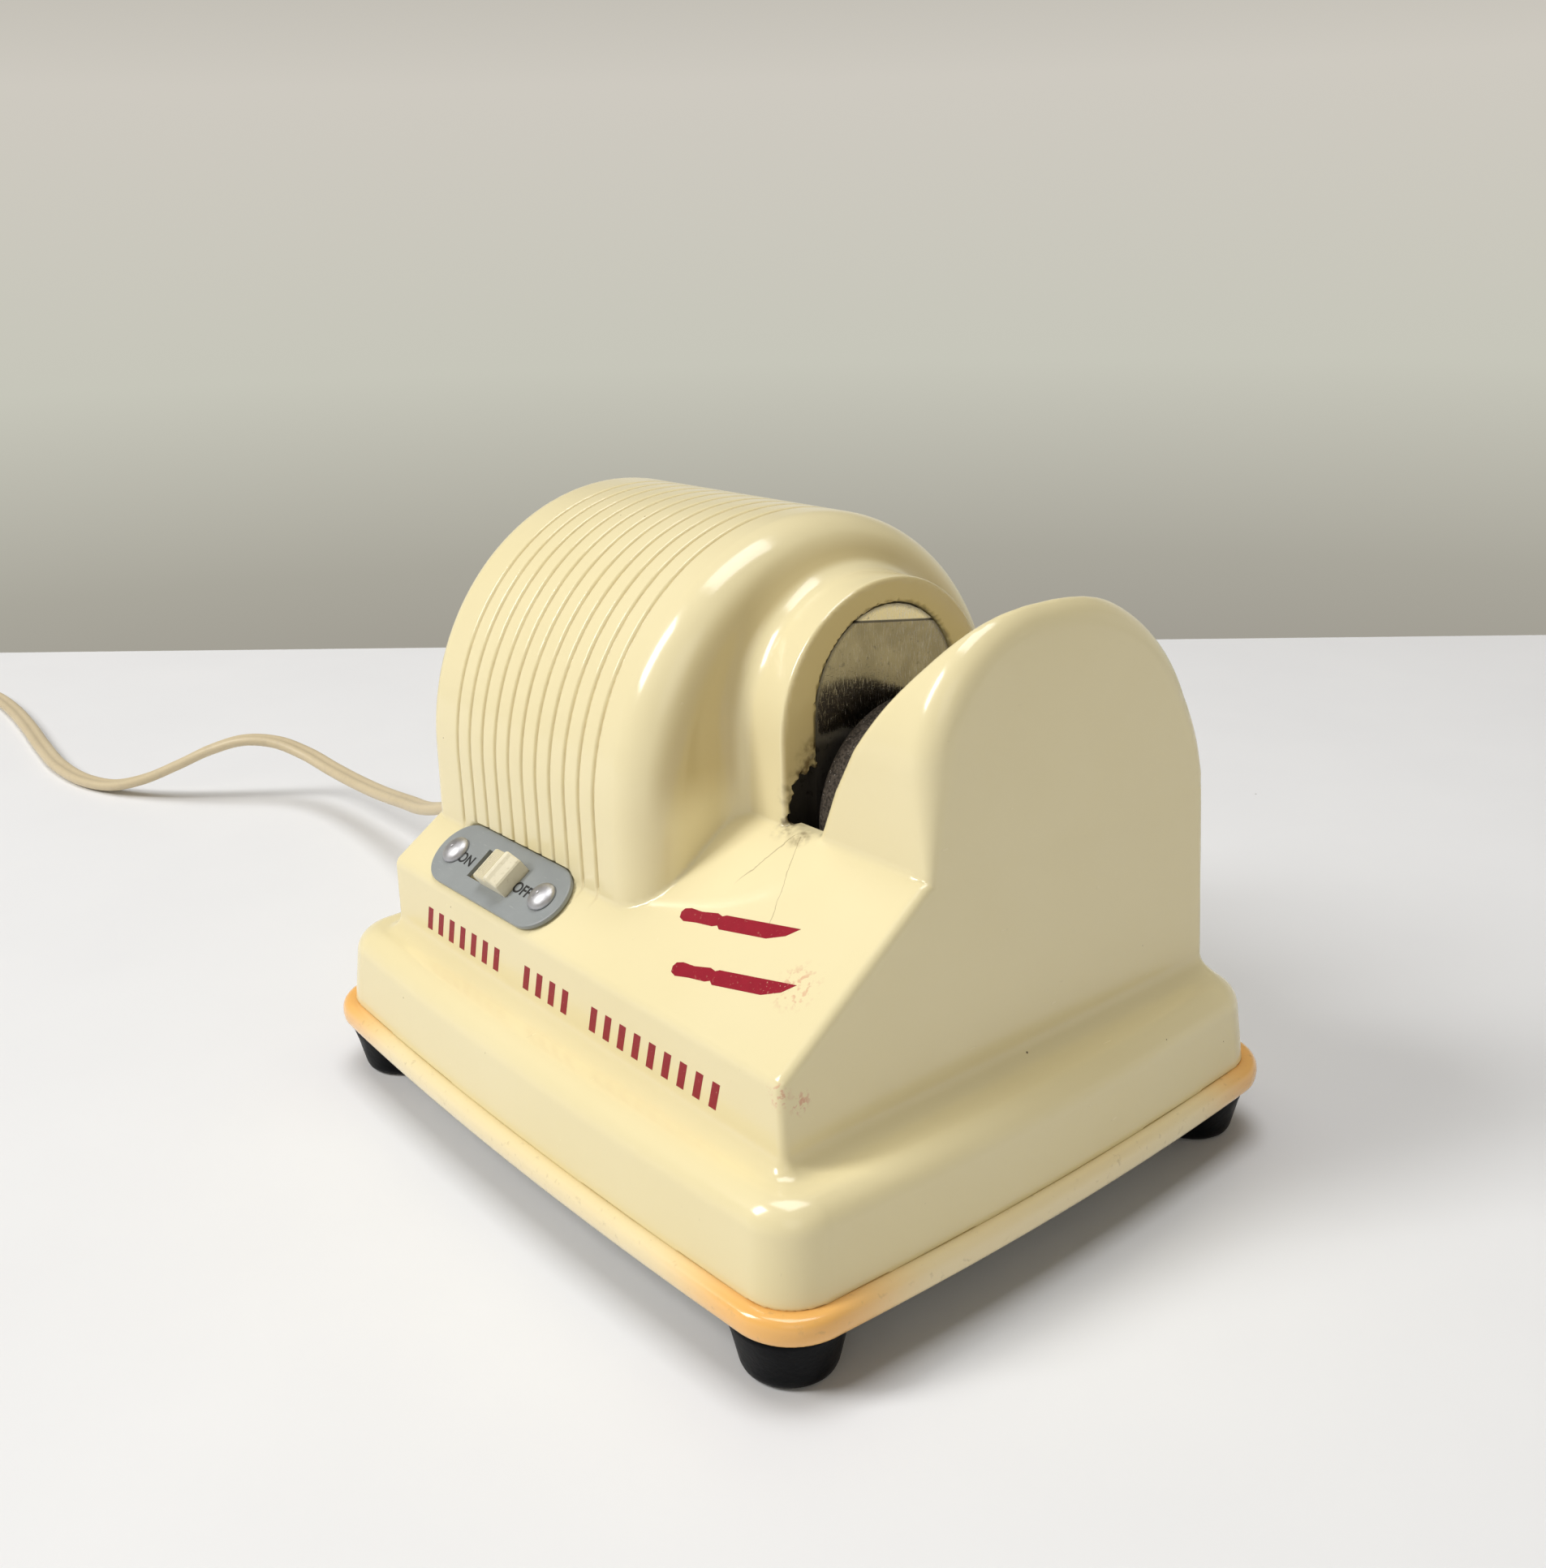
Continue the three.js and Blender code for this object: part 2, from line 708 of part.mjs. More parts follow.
const bobbinHalf = statorHalf - limb - gap;
const windowTop = poleBottom - gap;
const coilBottom = statorBottomZ - coilThick - 1.2;
const bobbinSheet = 1;
const coreHole = box(
  statorStartX - gap,
  statorEndX + gap,
  -100,
  100,
  statorBottomZ - gap,
  limbTop + gap,
);
const flangeBox = (y0, y1, inset) =>
  box(
    statorStartX - coilThick - bobbinSheet + inset,
    statorEndX + coilThick + bobbinSheet - inset,
    y0,
    y1,
    coilBottom + inset,
    windowTop - inset,
  );
const bobbinTube = box(
  statorStartX - gap - bobbinSheet,
  statorEndX + gap + bobbinSheet,
  shaftY - bobbinHalf,
  shaftY + bobbinHalf,
  statorBottomZ - gap - bobbinSheet,
  limbTop + gap + bobbinSheet,
);
const bobbin = cut(
  join(
    bobbinTube,
    flangeBox(shaftY - bobbinHalf, shaftY - bobbinHalf + bobbinSheet, 0),
    flangeBox(shaftY + bobbinHalf - bobbinSheet, shaftY + bobbinHalf, 0),
  ),
  coreHole,
);
add("coil_bobbin", bobbin, phenolic());
const windingEnd = bobbinHalf - bobbinSheet - gap;
const winding = cut(
  flangeBox(shaftY - windingEnd, shaftY + windingEnd, 1),
  box(
    statorStartX - 2 * gap - bobbinSheet,
    statorEndX + 2 * gap + bobbinSheet,
    -100,
    100,
    statorBottomZ - 2 * gap - bobbinSheet,
    limbTop + 2 * gap + bobbinSheet,
  ),
);
add("coil_winding", winding, copper());

const shaftHole = (r) => rodX(-100, 100, r, 20);
add(
  "motor_shaft",
  join(rodX(shaftStartX, shaftEndX, shaftR), rodX(shaftStartX - 1, shaftStartX, shaftR - 0.6)),
  zincSteel(),
);
add(
  "rotor",
  cut(
    join(
      rodX(statorStartX, statorEndX, rotorR, 36),
      rodX(statorStartX - 3, statorEndX + 3, rotorR - 1.4, 36),
    ),
    shaftHole(shaftR + gap / 2),
  ),
  siliconSteel(),
);

// A strip that bridges the rotor on two legs, with a bearing cup in its middle.
function bearingBracket(side) {
  const face = side < 0 ? statorStartX : statorEndX;
  const span = (near, far) => [face + side * near, face + side * far].sort((a, b) => a - b);
  const [legStart, legEnd] = span(gap, bracketReach + sheet / 2);
  const [stripStart, stripEnd] = span(bracketReach, bracketReach + sheet);
  const [cupStart, cupEnd] = span(bracketReach - 3, bracketReach + 5.4);
  const outer = motorBoltY + 4.5;
  const inner = motorBoltY - 4.5;
  const legs = [-1, 1].map((end) => {
    const [y0, y1] = [shaftY + end * inner, shaftY + end * outer].sort((a, b) => a - b);
    return box(legStart, legEnd, y0, y1, shaftZ - 5, shaftZ + 5);
  });
  const strip = box(
    stripStart,
    stripEnd,
    shaftY - outer,
    shaftY + outer,
    shaftZ - 6,
    shaftZ + 6,
  );
  const cup = rodX(cupStart, cupEnd, bearingR + 1.8, 28);
  return cut(join(strip, cup, ...legs), shaftHole(bearingR + gap / 2), ...boltHoles);
}

function bearing(side) {
  const face = side < 0 ? statorStartX : statorEndX;
  const middle = face + side * (bracketReach + sheet / 2);
  return cut(
    rodX(middle - bearingLength / 2, middle + bearingLength / 2, bearingR, 28),
    shaftHole(shaftR + runGap),
  );
}
add("rear_bearing_bracket", bearingBracket(-1), zincSteel());
add("front_bearing_bracket", bearingBracket(1), zincSteel());
add("rear_bearing", bearing(-1), bronze());
add("front_bearing", bearing(1), bronze());

const boltStart = statorStartX - bracketReach - sheet - gap;
const boltEnd = statorEndX + bracketReach + sheet;
boltYs.forEach((y, i) => {
  const head = rodX(boltStart - 2.2, boltStart, 3.4, 6, y);
  const bolt = join(head, rodX(boltStart - 0.5, boltEnd + 4.5, motorBoltR, 12, y));
  add(`motor_bolt_${i + 1}`, bolt, zincSteel());
  const nut = cut(rodX(boltEnd + gap, boltEnd + 2.8, 3.6, 6, y), rodX(0, 100, motorBoltR + 0.2, 12, y));
  add(`motor_nut_${i + 1}`, nut, zincSteel());
});

const fanEnd = boltStart - 2.2 - 1.5;
const fanStart = fanEnd - fanWidth;
const fanParts = [];
for (let i = 0; i < fanBlades; i++) {
  const blade = box(fanStart, fanEnd, -0.6, 0.6, 6, fanR).rotate([(360 * i) / fanBlades, 0, 0]);
  fanParts.push(blade.translate([0, shaftY, shaftZ]));
}
const fan = cut(
  join(rodX(fanStart, fanStart + 1.2, fanR, 36), rodX(fanStart, fanEnd, 6.4, 20), ...fanParts),
  shaftHole(shaftR + gap / 2),
);
add("cooling_fan", fan, aluminium());

// ---- Motor cradle: a U of steel on the base plate, with rubber pads under the stator ----
const cradleFloor = plateTop + gap;
const cradleHalfX = 7.5;
const cradle = cut(
  box(
    statorMidX - cradleHalfX,
    statorMidX + cradleHalfX,
    shaftY - statorHalf - gap - sheet,
    shaftY + statorHalf + gap + sheet,
    cradleFloor,
    limbTop + 6,
  ),
  box(
    statorMidX - 50,
    statorMidX + 50,
    shaftY - statorHalf - gap,
    shaftY + statorHalf + gap,
    cradleFloor + cradleSheet,
    100,
  ),
  ...cradleHoles,
);
add("motor_cradle", cradle, zincSteel());
[
  ["front", shaftY - statorHalf + 0.5],
  ["back", shaftY + statorHalf - limb + 0.7],
].forEach(([side, y]) => {
  const pad = cut(
    box(
      statorMidX - cradleHalfX,
      statorMidX + cradleHalfX,
      y,
      y + limb - 1.2,
      cradleFloor + cradleSheet + gap / 2,
      statorBottomZ - gap / 2,
    ),
    ...[cradleFrontY, cradleBackY].map((holeY) => rodZ(0, 30, 4, statorMidX, holeY, 16)),
  );
  add(`motor_pad_${side}`, pad, blackRubber());
});
[
  ["front", cradleFrontY],
  ["back", cradleBackY],
].forEach(([side, y]) => {
  const head = rodZ(plateBottom - gap - 1.8, plateBottom - gap, 3, statorMidX, y);
  const shank = rodZ(plateBottom - gap - 0.5, cradleFloor + cradleSheet + 5, 1.5, statorMidX, y, 12);
  add(`cradle_screw_${side}`, join(head, shank), zincSteel());
  const nut = cut(
    rodZ(cradleFloor + cradleSheet + gap, cradleFloor + cradleSheet + 2.9, 3.2, statorMidX, y, 6),
    rodZ(0, 30, 1.7, statorMidX, y, 12),
  );
  add(`cradle_nut_${side}`, nut, zincSteel());
});

// ---- Grinding wheel between two flanges, held by a nut on the shaft ----
const arborStart = wheelStart - flangeThick - gap;
add(
  "inner_flange",
  cut(rodX(arborStart, wheelStart - gap, flangeR, 28), shaftHole(shaftR + gap / 2)),
  zincSteel(),
);
add(
  "grinding_wheel",
  cut(rodX(wheelStart, wheelEnd, wheelR, 56), shaftHole(shaftR + gap / 2)),
  grit(),
);
add(
  "outer_flange",
  cut(rodX(wheelEnd + gap, wheelEnd + gap + flangeThick, flangeR, 28), shaftHole(shaftR + gap / 2)),
  zincSteel(),
);
const nutStart = wheelEnd + 2 * gap + flangeThick;
add(
  "arbor_nut",
  cut(rodX(nutStart, nutStart + 4, 4.6, 6), shaftHole(shaftR + gap / 2)),
  brass(),
);

// ---- Mains cord: tapered relief, run over the table, round coil, tail and plug ----
// The relief is turned about its own axis: a lip inside the wall, a neck, a collar and the taper.
const lip = 1.6;
const neck = wall + 2 * gap;
const relief = turned(
  [
    [0, 0],
    [5.6, 0],
    [5.6, lip],
    [4.2, lip],
    [4.2, lip + neck],
    [5.8, lip + neck],
    [5.8, lip + neck + 2],
    [4.6, lip + neck + 3.4],
    [2.7, lip + neck + reliefLength],
    [0, lip + neck + reliefLength],
  ],
  20,
)
  .rotate([0, -90, 0])
  .translate([-bodyHalfX + wall + gap + lip, cordExitY, cordExitZ]);
add("strain_relief", relief, cordVinyl());

// The cord sags to the table, rises in a low stiff hump, then lies flat to the coil.
const cordRoute = [
  [-79.2, 0, 35.6],
  [-90, -0.3, 34.3],
  [-102, -1.4, 31],
  [-114, -2.4, 26],
  [-128, -1.6, 21.5],
  [-146, 1.7, 17.6],
  [-164, 3.6, 14.8],
  [-181, 4.6, 13.4],
  [-196, 4.4, 13.6],
  [-208, 2.4, 15.6],
  [-217, -2, 17.8],
  [-224, -8.4, 18.2],
  [-231, -15.6, 15.4],
  [-239, -22.6, 10.6],
  [-248.5, -29.6, 5.6],
  [-259, -35.6, 2.4],
  [-272, -39.8, 1.6],
  [-292, -41.2, 1.6],
  [-316, -39.2, 1.6],
  [-341, -36.2, 1.6],
  [-366, -34, 1.6],
  [-388, -34, 1.6],
  [-404, -36.6, 1.6],
  [-414, -39.4, 1.6],
];
const cordTail = [
  [-420, -115.9, 7.2],
  [-411, -118.3, 6],
  [-402, -119.6, 5.2],
  [-394.3, -119.8, 5],
];

function tube(route, radius, sides, steps) {
  const path = new THREE.CatmullRomCurve3(
    route.map(([x, y, z]) => new THREE.Vector3(x, y, z)),
    false,
    "centripetal",
  );
  const section = new THREE.Shape();
  for (let i = 0; i < sides; i++) {
    const turn = (2 * Math.PI * (i + 0.5)) / sides;
    const x = radius * Math.cos(turn);
    const y = radius * Math.sin(turn);
    if (i === 0) section.moveTo(x, y);
    else section.lineTo(x, y);
  }
  return solid(new THREE.ExtrudeGeometry(section, { steps, extrudePath: path, bevelEnabled: false }));
}

add("cord_run", tube(cordRoute, cordR, 8, 50), cordVinyl());
const [coilX, coilY] = coilCentre;
const coil = turned(
  [
    [coilInnerR + 1, 0.1],
    [coilOuterR - 1, 0.1],
    [coilOuterR, 1.1],
    [coilOuterR, coilHeight - 1.6],
    [coilOuterR - 1.6, coilHeight],
    [coilInnerR + 1.6, coilHeight],
    [coilInnerR, coilHeight - 1.6],
    [coilInnerR, 1.1],
  ],
  36,
).translate([coilX, coilY, 0]);
add("cord_coil", coil, cordVinyl());
add("cord_tail", tube(cordTail, cordR, 8, 8), cordVinyl());

// The plug lies on its back beside the coil.
const plugX = -394;
const plugY = -119.8;
const plugOutline = polygon([
  [plugX, plugY - 4.5],
  [plugX + 5, plugY - 6],
  [plugX + 11, plugY - 10.5],
  [plugX + plugLength, plugY - 12.5],
  [plugX + plugLength, plugY + 12.5],
  [plugX + 11, plugY + 10.5],
  [plugX + 5, plugY + 6],
  [plugX, plugY + 4.5],
]);
add("plug_body", alongZ(plugOutline, 0, plugHeight, 1.2, 2), phenolic());
[-1, 1].forEach((side, i) => {
  const y = plugY + (side * bladePitch) / 2;
  const start = plugX + plugLength + gap;
  const blade = cut(
    box(start, start + bladeLength, y - 0.75, y + 0.75, plugHeight / 2 - 3.1, plugHeight / 2 + 3.1),
    solid(new THREE.CylinderGeometry(1.5, 1.5, 4, 12)).translate([start + 13, y, plugHeight / 2]),
  );
  add(`plug_blade_${i + 1}`, blade, brass());
});

// ---- Inside lead, from the relief to the switch ----
const supplyLead = [
  [-48.8, 0, 35.6],
  [-46.6, -4, 31],
  [-46, -14, 25],
  [-42, -24, 24],
  [-36, -31, 27],
  [-32.5, -33.6, 31.4],
];
add("supply_lead", tube(supplyLead, 1.1, 8, 14), phenolic());

export default sharpener;
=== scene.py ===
"""Electric knife sharpener of the 1950s.

Ivory housing, amber edging, slide switch, grinding wheel and mains cord.
"""

import json
import math

import bpy
import numpy as np
from mathutils import Matrix, Vector


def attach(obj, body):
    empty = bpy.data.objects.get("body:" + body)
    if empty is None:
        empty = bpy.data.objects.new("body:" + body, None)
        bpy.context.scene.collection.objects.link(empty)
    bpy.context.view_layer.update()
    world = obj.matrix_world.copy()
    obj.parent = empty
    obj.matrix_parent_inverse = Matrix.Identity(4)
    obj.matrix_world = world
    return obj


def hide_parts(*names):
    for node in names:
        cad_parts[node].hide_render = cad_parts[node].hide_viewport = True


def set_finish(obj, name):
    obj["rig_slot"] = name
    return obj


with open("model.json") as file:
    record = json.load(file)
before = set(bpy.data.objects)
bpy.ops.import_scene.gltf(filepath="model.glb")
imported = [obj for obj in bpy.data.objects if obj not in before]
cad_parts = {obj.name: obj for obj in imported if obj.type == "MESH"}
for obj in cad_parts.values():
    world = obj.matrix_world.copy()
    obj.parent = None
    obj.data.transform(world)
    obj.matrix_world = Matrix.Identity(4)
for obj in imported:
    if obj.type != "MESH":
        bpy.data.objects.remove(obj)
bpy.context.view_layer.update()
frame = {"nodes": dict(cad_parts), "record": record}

# ---- Table, studio light and camera ----
# The sharpener stands on a white laminate table in front of a grey wall. A tall lamp like a window
# stands at the front left, a wide one hangs above, and a faint one on the right lifts the shadows.
AZIMUTH, ELEVATION, ROLL = math.radians(50.4), math.radians(19.4), math.radians(-1.4)
AIM = Vector((-0.0043, 0.0041, 0.0579))
AWAY = 0.2761
LENS = 1917 * 36 / 1932  # focal length in mm
TABLE_EDGE = 0.589  # level distance from the camera to the back edge of the table
TABLE_DEEP, TABLE_HALF = 3, 2
EDGE_TURN = math.radians(-3.0)  # the table stands a little askew to the camera


class Wire:
    """A value or colour that a material's nodes give. Sums and products of wires add Math nodes."""

    def __init__(self, finish, socket):
        self.finish, self.socket = finish, socket

    def __add__(self, other):
        return self.finish.maths("ADD", self, other)

    def __sub__(self, other):
        return self.finish.maths("SUBTRACT", self, other)

    def __rsub__(self, other):
        return self.finish.maths("SUBTRACT", other, self)

    def __mul__(self, other):
        return self.finish.maths("MULTIPLY", self, other)

    def __truediv__(self, other):
        return self.finish.maths("DIVIDE", self, other)

    def __abs__(self):
        return self.finish.maths("ABSOLUTE", self)

    __radd__, __rmul__ = __add__, __mul__

    def rises(self, low, high):
        """0 below low, 1 above high and smooth between; falls where low is above high."""
        ends = {"From Min": min(low, high), "From Max": max(low, high)}
        ends.update({"To Min": float(low > high), "To Max": float(low < high)})
        settings = {"interpolation_type": "SMOOTHSTEP"}
        return self.finish.node("MapRange", settings, {"Value": self, **ends})


class Finish:
    """A material and the nodes that colour it. Places are in mm in the sharpener's frame."""

    def __init__(self, name, **plain):
        self.material = bpy.data.materials.new(name)
        self.material.use_nodes = True
        self.tree = self.material.node_tree
        self.shader = self.tree.nodes["Principled BSDF"]
        for socket, value in plain.items():
            self.shader.inputs[socket.replace("_", " ")].default_value = value
        metres = self.node("TexCoord", output="Object")
        self.place = self.node(
            "VectorMath", {"operation": "SCALE"}, {"Vector": metres, "Scale": 1000.0}
        )

    def node(self, kind, settings=None, sockets=None, output=0):
        made = self.tree.nodes.new("ShaderNode" + kind)
        for key, value in (settings or {}).items():
            if key == "stops":
                ramp = made.color_ramp.elements
                while len(ramp) < len(value):
                    ramp.new(0.5)
                for stop, (where, colour) in zip(ramp, value):
                    stop.position, stop.color = where, (*colour, 1)
            else:
                setattr(made, key, value)
        for key, value in (sockets or {}).items():
            if isinstance(value, Wire):
                self.tree.links.new(value.socket, made.inputs[key])
            else:
                made.inputs[key].default_value = value
        return Wire(self, made.outputs[output])

    def maths(self, operation, a, b=0.0):
        return self.node("Math", {"operation": operation}, {0: a, 1: b})

    def mix(self, share, first, second):
        """The first colour, turning into the second as share goes from 0 to 1."""
        full = [(*c, 1) if isinstance(c, tuple) else c for c in (first, second)]
        return self.node("Mix", {"data_type": "RGBA"}, {0: share, 6: full[0], 7: full[1]}, 2)

    def axes(self, vector=None):
        split = self.node("SeparateXYZ", None, {0: vector or self.place})
        return [Wire(self, split.socket.node.outputs[i]) for i in range(3)]

    def stretched(self, x, y, z):
        """The place, scaled along each axis."""
        return self.node(
            "VectorMath", {"operation": "MULTIPLY"}, {0: self.place, 1: (x, y, z)}
        )

    def noise(self, size, detail=3.0, place=None):
        """Soft noise from 0 to 1 whose features are about size millimetres across."""
        sockets = {"Vector": place or self.place, "Scale": 1 / size, "Detail": detail}
        return self.node("TexNoise", None, sockets)

    def specks(self, spacing, reach, share, place=None):
        """Round specks of up to reach of the spacing, in a share of the cells."""
        sockets = {"Vector": place or self.place, "Scale": 1 / spacing}
        away = self.node("TexVoronoi", None, sockets)
        lot = self.axes(Wire(self, away.socket.node.outputs["Color"]))[0]
        return away.rises(reach, 0.6 * reach) * lot.rises(share + 0.01, share)

    def set(self, **varying):
        for socket, value in varying.items():
            self.tree.links.new(value.socket, self.shader.inputs[socket.replace("_", " ")])

    def bump(self, height, depth):
        """Relief that stands depth millimetres high where height is 1."""
        sockets = {"Height": height, "Distance": depth / 1000, "Strength": 1.0}
        self.set(Normal=self.node("Bump", None, sockets))


def from_mm(points):
    return (np.asarray(points, float) / 1000).tolist()


def piece(name, points, faces, finish, smooth=True):
    """A mesh object from points in millimetres."""
    data = bpy.data.meshes.new(name)
    data.from_pydata(from_mm(points), [], [list(map(int, face)) for face in faces])
    data.validate()
    if smooth:
        data.shade_smooth()
    data.materials.append(finish.material)
    made = bpy.data.objects.new(name, data)
    bpy.context.scene.collection.objects.link(made)
    return made


camera = bpy.data.objects.new("camera", bpy.data.cameras.new("camera"))
bpy.context.scene.collection.objects.link(camera)
bpy.context.scene.camera = camera
camera.data.lens = LENS
camera.data.clip_start, camera.data.clip_end = 0.01, 20
bpy.context.scene.view_settings.view_transform = "Standard"
level = math.cos(ELEVATION)
back = Vector((math.sin(AZIMUTH) * level, -math.cos(AZIMUTH) * level, math.sin(ELEVATION)))
camera.location = AIM + back * AWAY
upright = (-back).to_track_quat("-Z", "Y")
camera.rotation_mode = "XYZ"
camera.rotation_euler = upright.to_euler()
camera.rotation_euler.rotate_axis("Z", ROLL)

laminate = Finish("white_laminate", Roughness=0.45, Specular_IOR_Level=0.3)
mottle = laminate.noise(60, 4.0)
fibres = laminate.specks(16, 0.03, 0.08)
sheet = laminate.mix(mottle, (0.81, 0.82, 0.845), (0.865, 0.875, 0.895))
laminate.set(Base_Color=laminate.mix(fibres, sheet, (0.35, 0.34, 0.33)))
laminate.bump(laminate.noise(0.9, 5.0), 0.01)
ahead = Vector((-math.sin(AZIMUTH), math.cos(AZIMUTH), 0))
aside = Matrix.Rotation(EDGE_TURN, 3, "Z") @ Vector((ahead.y, -ahead.x, 0))
under_camera = Vector((camera.location.x, camera.location.y, 0))
edge = under_camera + ahead * TABLE_EDGE
front = edge - ahead * TABLE_DEEP
half_width = aside * TABLE_HALF
corners = [edge - half_width, edge + half_width, front + half_width, front - half_width]
table = piece("table_top", [list(c * 1000) for c in corners], [(3, 2, 1, 0)], laminate, False)


def lamp(name, place, aim, width, height, power, colour):
    light = bpy.data.lights.new(name, "AREA")
    light.shape, light.size, light.size_y = "RECTANGLE", width, height
    light.energy, light.color = power, colour
    made = bpy.data.objects.new(name, light)
    made.location = place
    made.rotation_mode = "QUATERNION"
    made.rotation_quaternion = (Vector(aim) - Vector(place)).to_track_quat("-Z", "Y")
    bpy.context.scene.collection.objects.link(made)


lamp("window", (-0.75, -1.45, 1.5), (0, 0, 0.05), 0.5, 1.0, 28.0, (1.0, 0.99, 0.97))
lamp("ceiling", (-0.1, 0.0, 2.1), (0, 0, 0), 1.1, 1.1, 20.5, (0.97, 0.985, 1.0))
lamp("right_fill", (1.1, -0.9, 0.9), (0.15, 0, 0), 0.8, 0.8, 1.6, (1.0, 0.98, 0.94))

# The room: a grey wall, lightest a little above the table's edge and dark towards the ceiling.
room = bpy.data.worlds.new("room")
bpy.context.scene.world = room
room.use_nodes = True
sky = room.node_tree.nodes
towards = sky.new("ShaderNodeTexCoord")
height = sky.new("ShaderNodeSeparateXYZ")
tone = sky.new("ShaderNodeValToRGB")
HORIZON = 0.25  # where a level line of sight falls in the ramp
SKY = [
    (0.0, (0.35, 0.33, 0.285)), (0.06, (0.40, 0.385, 0.33)), (0.175, (0.57, 0.565, 0.49)),
    (0.335, (0.62, 0.59, 0.53)), (0.45, (0.46, 0.44, 0.39)), (0.6, (0.19, 0.165, 0.13)),
]  # fmt: skip
for position, shade in SKY:
    stop = tone.color_ramp.elements.new(position) if position else tone.color_ramp.elements[0]
    stop.position, stop.color = position, (*shade, 1)
tone.color_ramp.elements[-1].color = (*SKY[-1][1], 1)
shifted = sky.new("ShaderNodeMath")
shifted.operation = "ADD"
shifted.inputs[1].default_value = HORIZON
room.node_tree.links.new(towards.outputs["Generated"], height.inputs[0])
room.node_tree.links.new(height.outputs[2], shifted.inputs[0])
room.node_tree.links.new(shifted.outputs[0], tone.inputs[0])
room.node_tree.links.new(tone.outputs[0], sky["Background"].inputs["Color"])
sky["Background"].inputs["Strength"].default_value = 1.0

# ---- Mains cord ----
# Two insulated cores side by side in one beige vinyl web, 5.2 mm wide and about 1.8 m long. It
# runs over the table in a low hump, and the rest is wound in a neat three-layer coil under a tie.
CORD_WIDTH = 5.2
CORE = 1.35  # radius of one insulated core
ROUTE = [
    (-79.2, 0, 35.6), (-90, -0.3, 34.3), (-102, -1.4, 31), (-114, -2.4, 26), (-128, -1.6, 21.5),
    (-146, 1.7, 17.6), (-164, 3.6, 14.8), (-181, 4.6, 13.4), (-196, 4.4, 13.6),
    (-208, 2.4, 15.6), (-217, -2, 17.8), (-224, -8.4, 18.2), (-231, -15.6, 15.4),
    (-239, -22.6, 10.6), (-248.5, -29.6, 5.6), (-259, -35.6, 2.4), (-272, -39.8, 1.6),
    (-292, -41.2, 1.6), (-316, -39.2, 1.6), (-341, -36.2, 1.6), (-366, -34, 1.6),
    (-388, -33.6, 1.6), (-402, -35.4, 1.6), (-414, -38.1, 1.6), (-423.6, -39.2, 1.6),
    (-432, -41.3, 1.6),
]  # fmt: skip
TAIL = [(-419.5, -118.3, 6.8), (-410.5, -119.3, 5.9), (-402, -119.7, 5.2), (-394.3, -119.8, 5)]
COIL_X, COIL_Y = -432, -78
COIL_START, COIL_END = math.radians(100), math.radians(-85)  # where the cord joins and leaves
LANE_IN, LANE_OUT, LANE_END, LANE_PITCH = 22.4, 34.6, 39.2, 5.38
BED, TOP, LAYER = 1.6, 7.2, 2.8  # height of the bottom and top layers, and between two layers
RISE = 0.19  # part of a turn in which the cord climbs to the next layer
CROSSING = 2.1  # least angle over which the cord crosses the top layer on its way out
FALL = 2.4


def smooth_line(points, step):
    """Points about a step apart on a centripetal curve through the given points."""
    points = [np.array(p, float) for p in points]
    points = [2 * points[0] - points[1], *points, 2 * points[-1] - points[-2]]
    line = []
    for a, b, c, d in zip(points, points[1:], points[2:], points[3:]):
        t = [0.0]
        for p, q in ((a, b), (b, c), (c, d)):
            t.append(t[-1] + math.sqrt(np.linalg.norm(q - p)))
        for u in np.linspace(t[1], t[2], max(2, int(np.linalg.norm(c - b) / step)), endpoint=False):
            ab = a + (b - a) * (u - t[0]) / (t[1] - t[0])
            bc = b + (c - b) * (u - t[1]) / (t[2] - t[1])
            cd = c + (d - c) * (u - t[2]) / (t[3] - t[2])
            abc = ab + (bc - ab) * (u - t[0]) / (t[2] - t[0])
            bcd = bc + (cd - bc) * (u - t[1]) / (t[3] - t[1])
            line.append(abc + (bcd - abc) * (u - t[1]) / (t[2] - t[1]))
    return line + [points[-2]]


def coil_points():
    """In along the bottom layer, out along the middle one, in along the top, then out over it."""
    turns_in_layer = (LANE_OUT - LANE_IN) / LANE_PITCH
    made, turn = [], COIL_START
    for layer in range(3):
        lanes = (LANE_OUT, LANE_IN) if layer % 2 == 0 else (LANE_IN, LANE_OUT)
        for part in np.linspace(0, 1, int(turns_in_layer * 16), endpoint=False):
            radius = lanes[0] + (lanes[1] - lanes[0]) * part
            angle = turn + 2 * math.pi * turns_in_layer * part
            made.append((radius, angle, BED + layer * LAYER))
        for part in np.linspace(0, 1, 5, endpoint=False) if layer < 2 else ():
            climb = part * part * (3 - 2 * part)
            angle = turn + 2 * math.pi * (turns_in_layer + RISE * part)
            made.append((lanes[1], angle, BED + (layer + climb) * LAYER))
        turn += 2 * math.pi * (turns_in_layer + RISE)
    last = made[-1][1]
    turns = math.ceil((last + CROSSING - COIL_END) / 2 / math.pi)
    leave = COIL_END + 2 * math.pi * turns
    for part in np.linspace(0, 1, int((leave - last) * 4))[1:-1]:
        ease = part * part * (3 - 2 * part)
        lift = min(1, part * 4) * LAYER - FALL * max(0, (part - 0.6) / 0.4) ** 1.5
        radius = LANE_IN + (LANE_END - LANE_IN) * ease
        made.append((radius, last + (leave - last) * part, TOP + lift))
    return [(COIL_X + r * math.cos(a), COIL_Y + r * math.sin(a), z) for r, a, z in made]


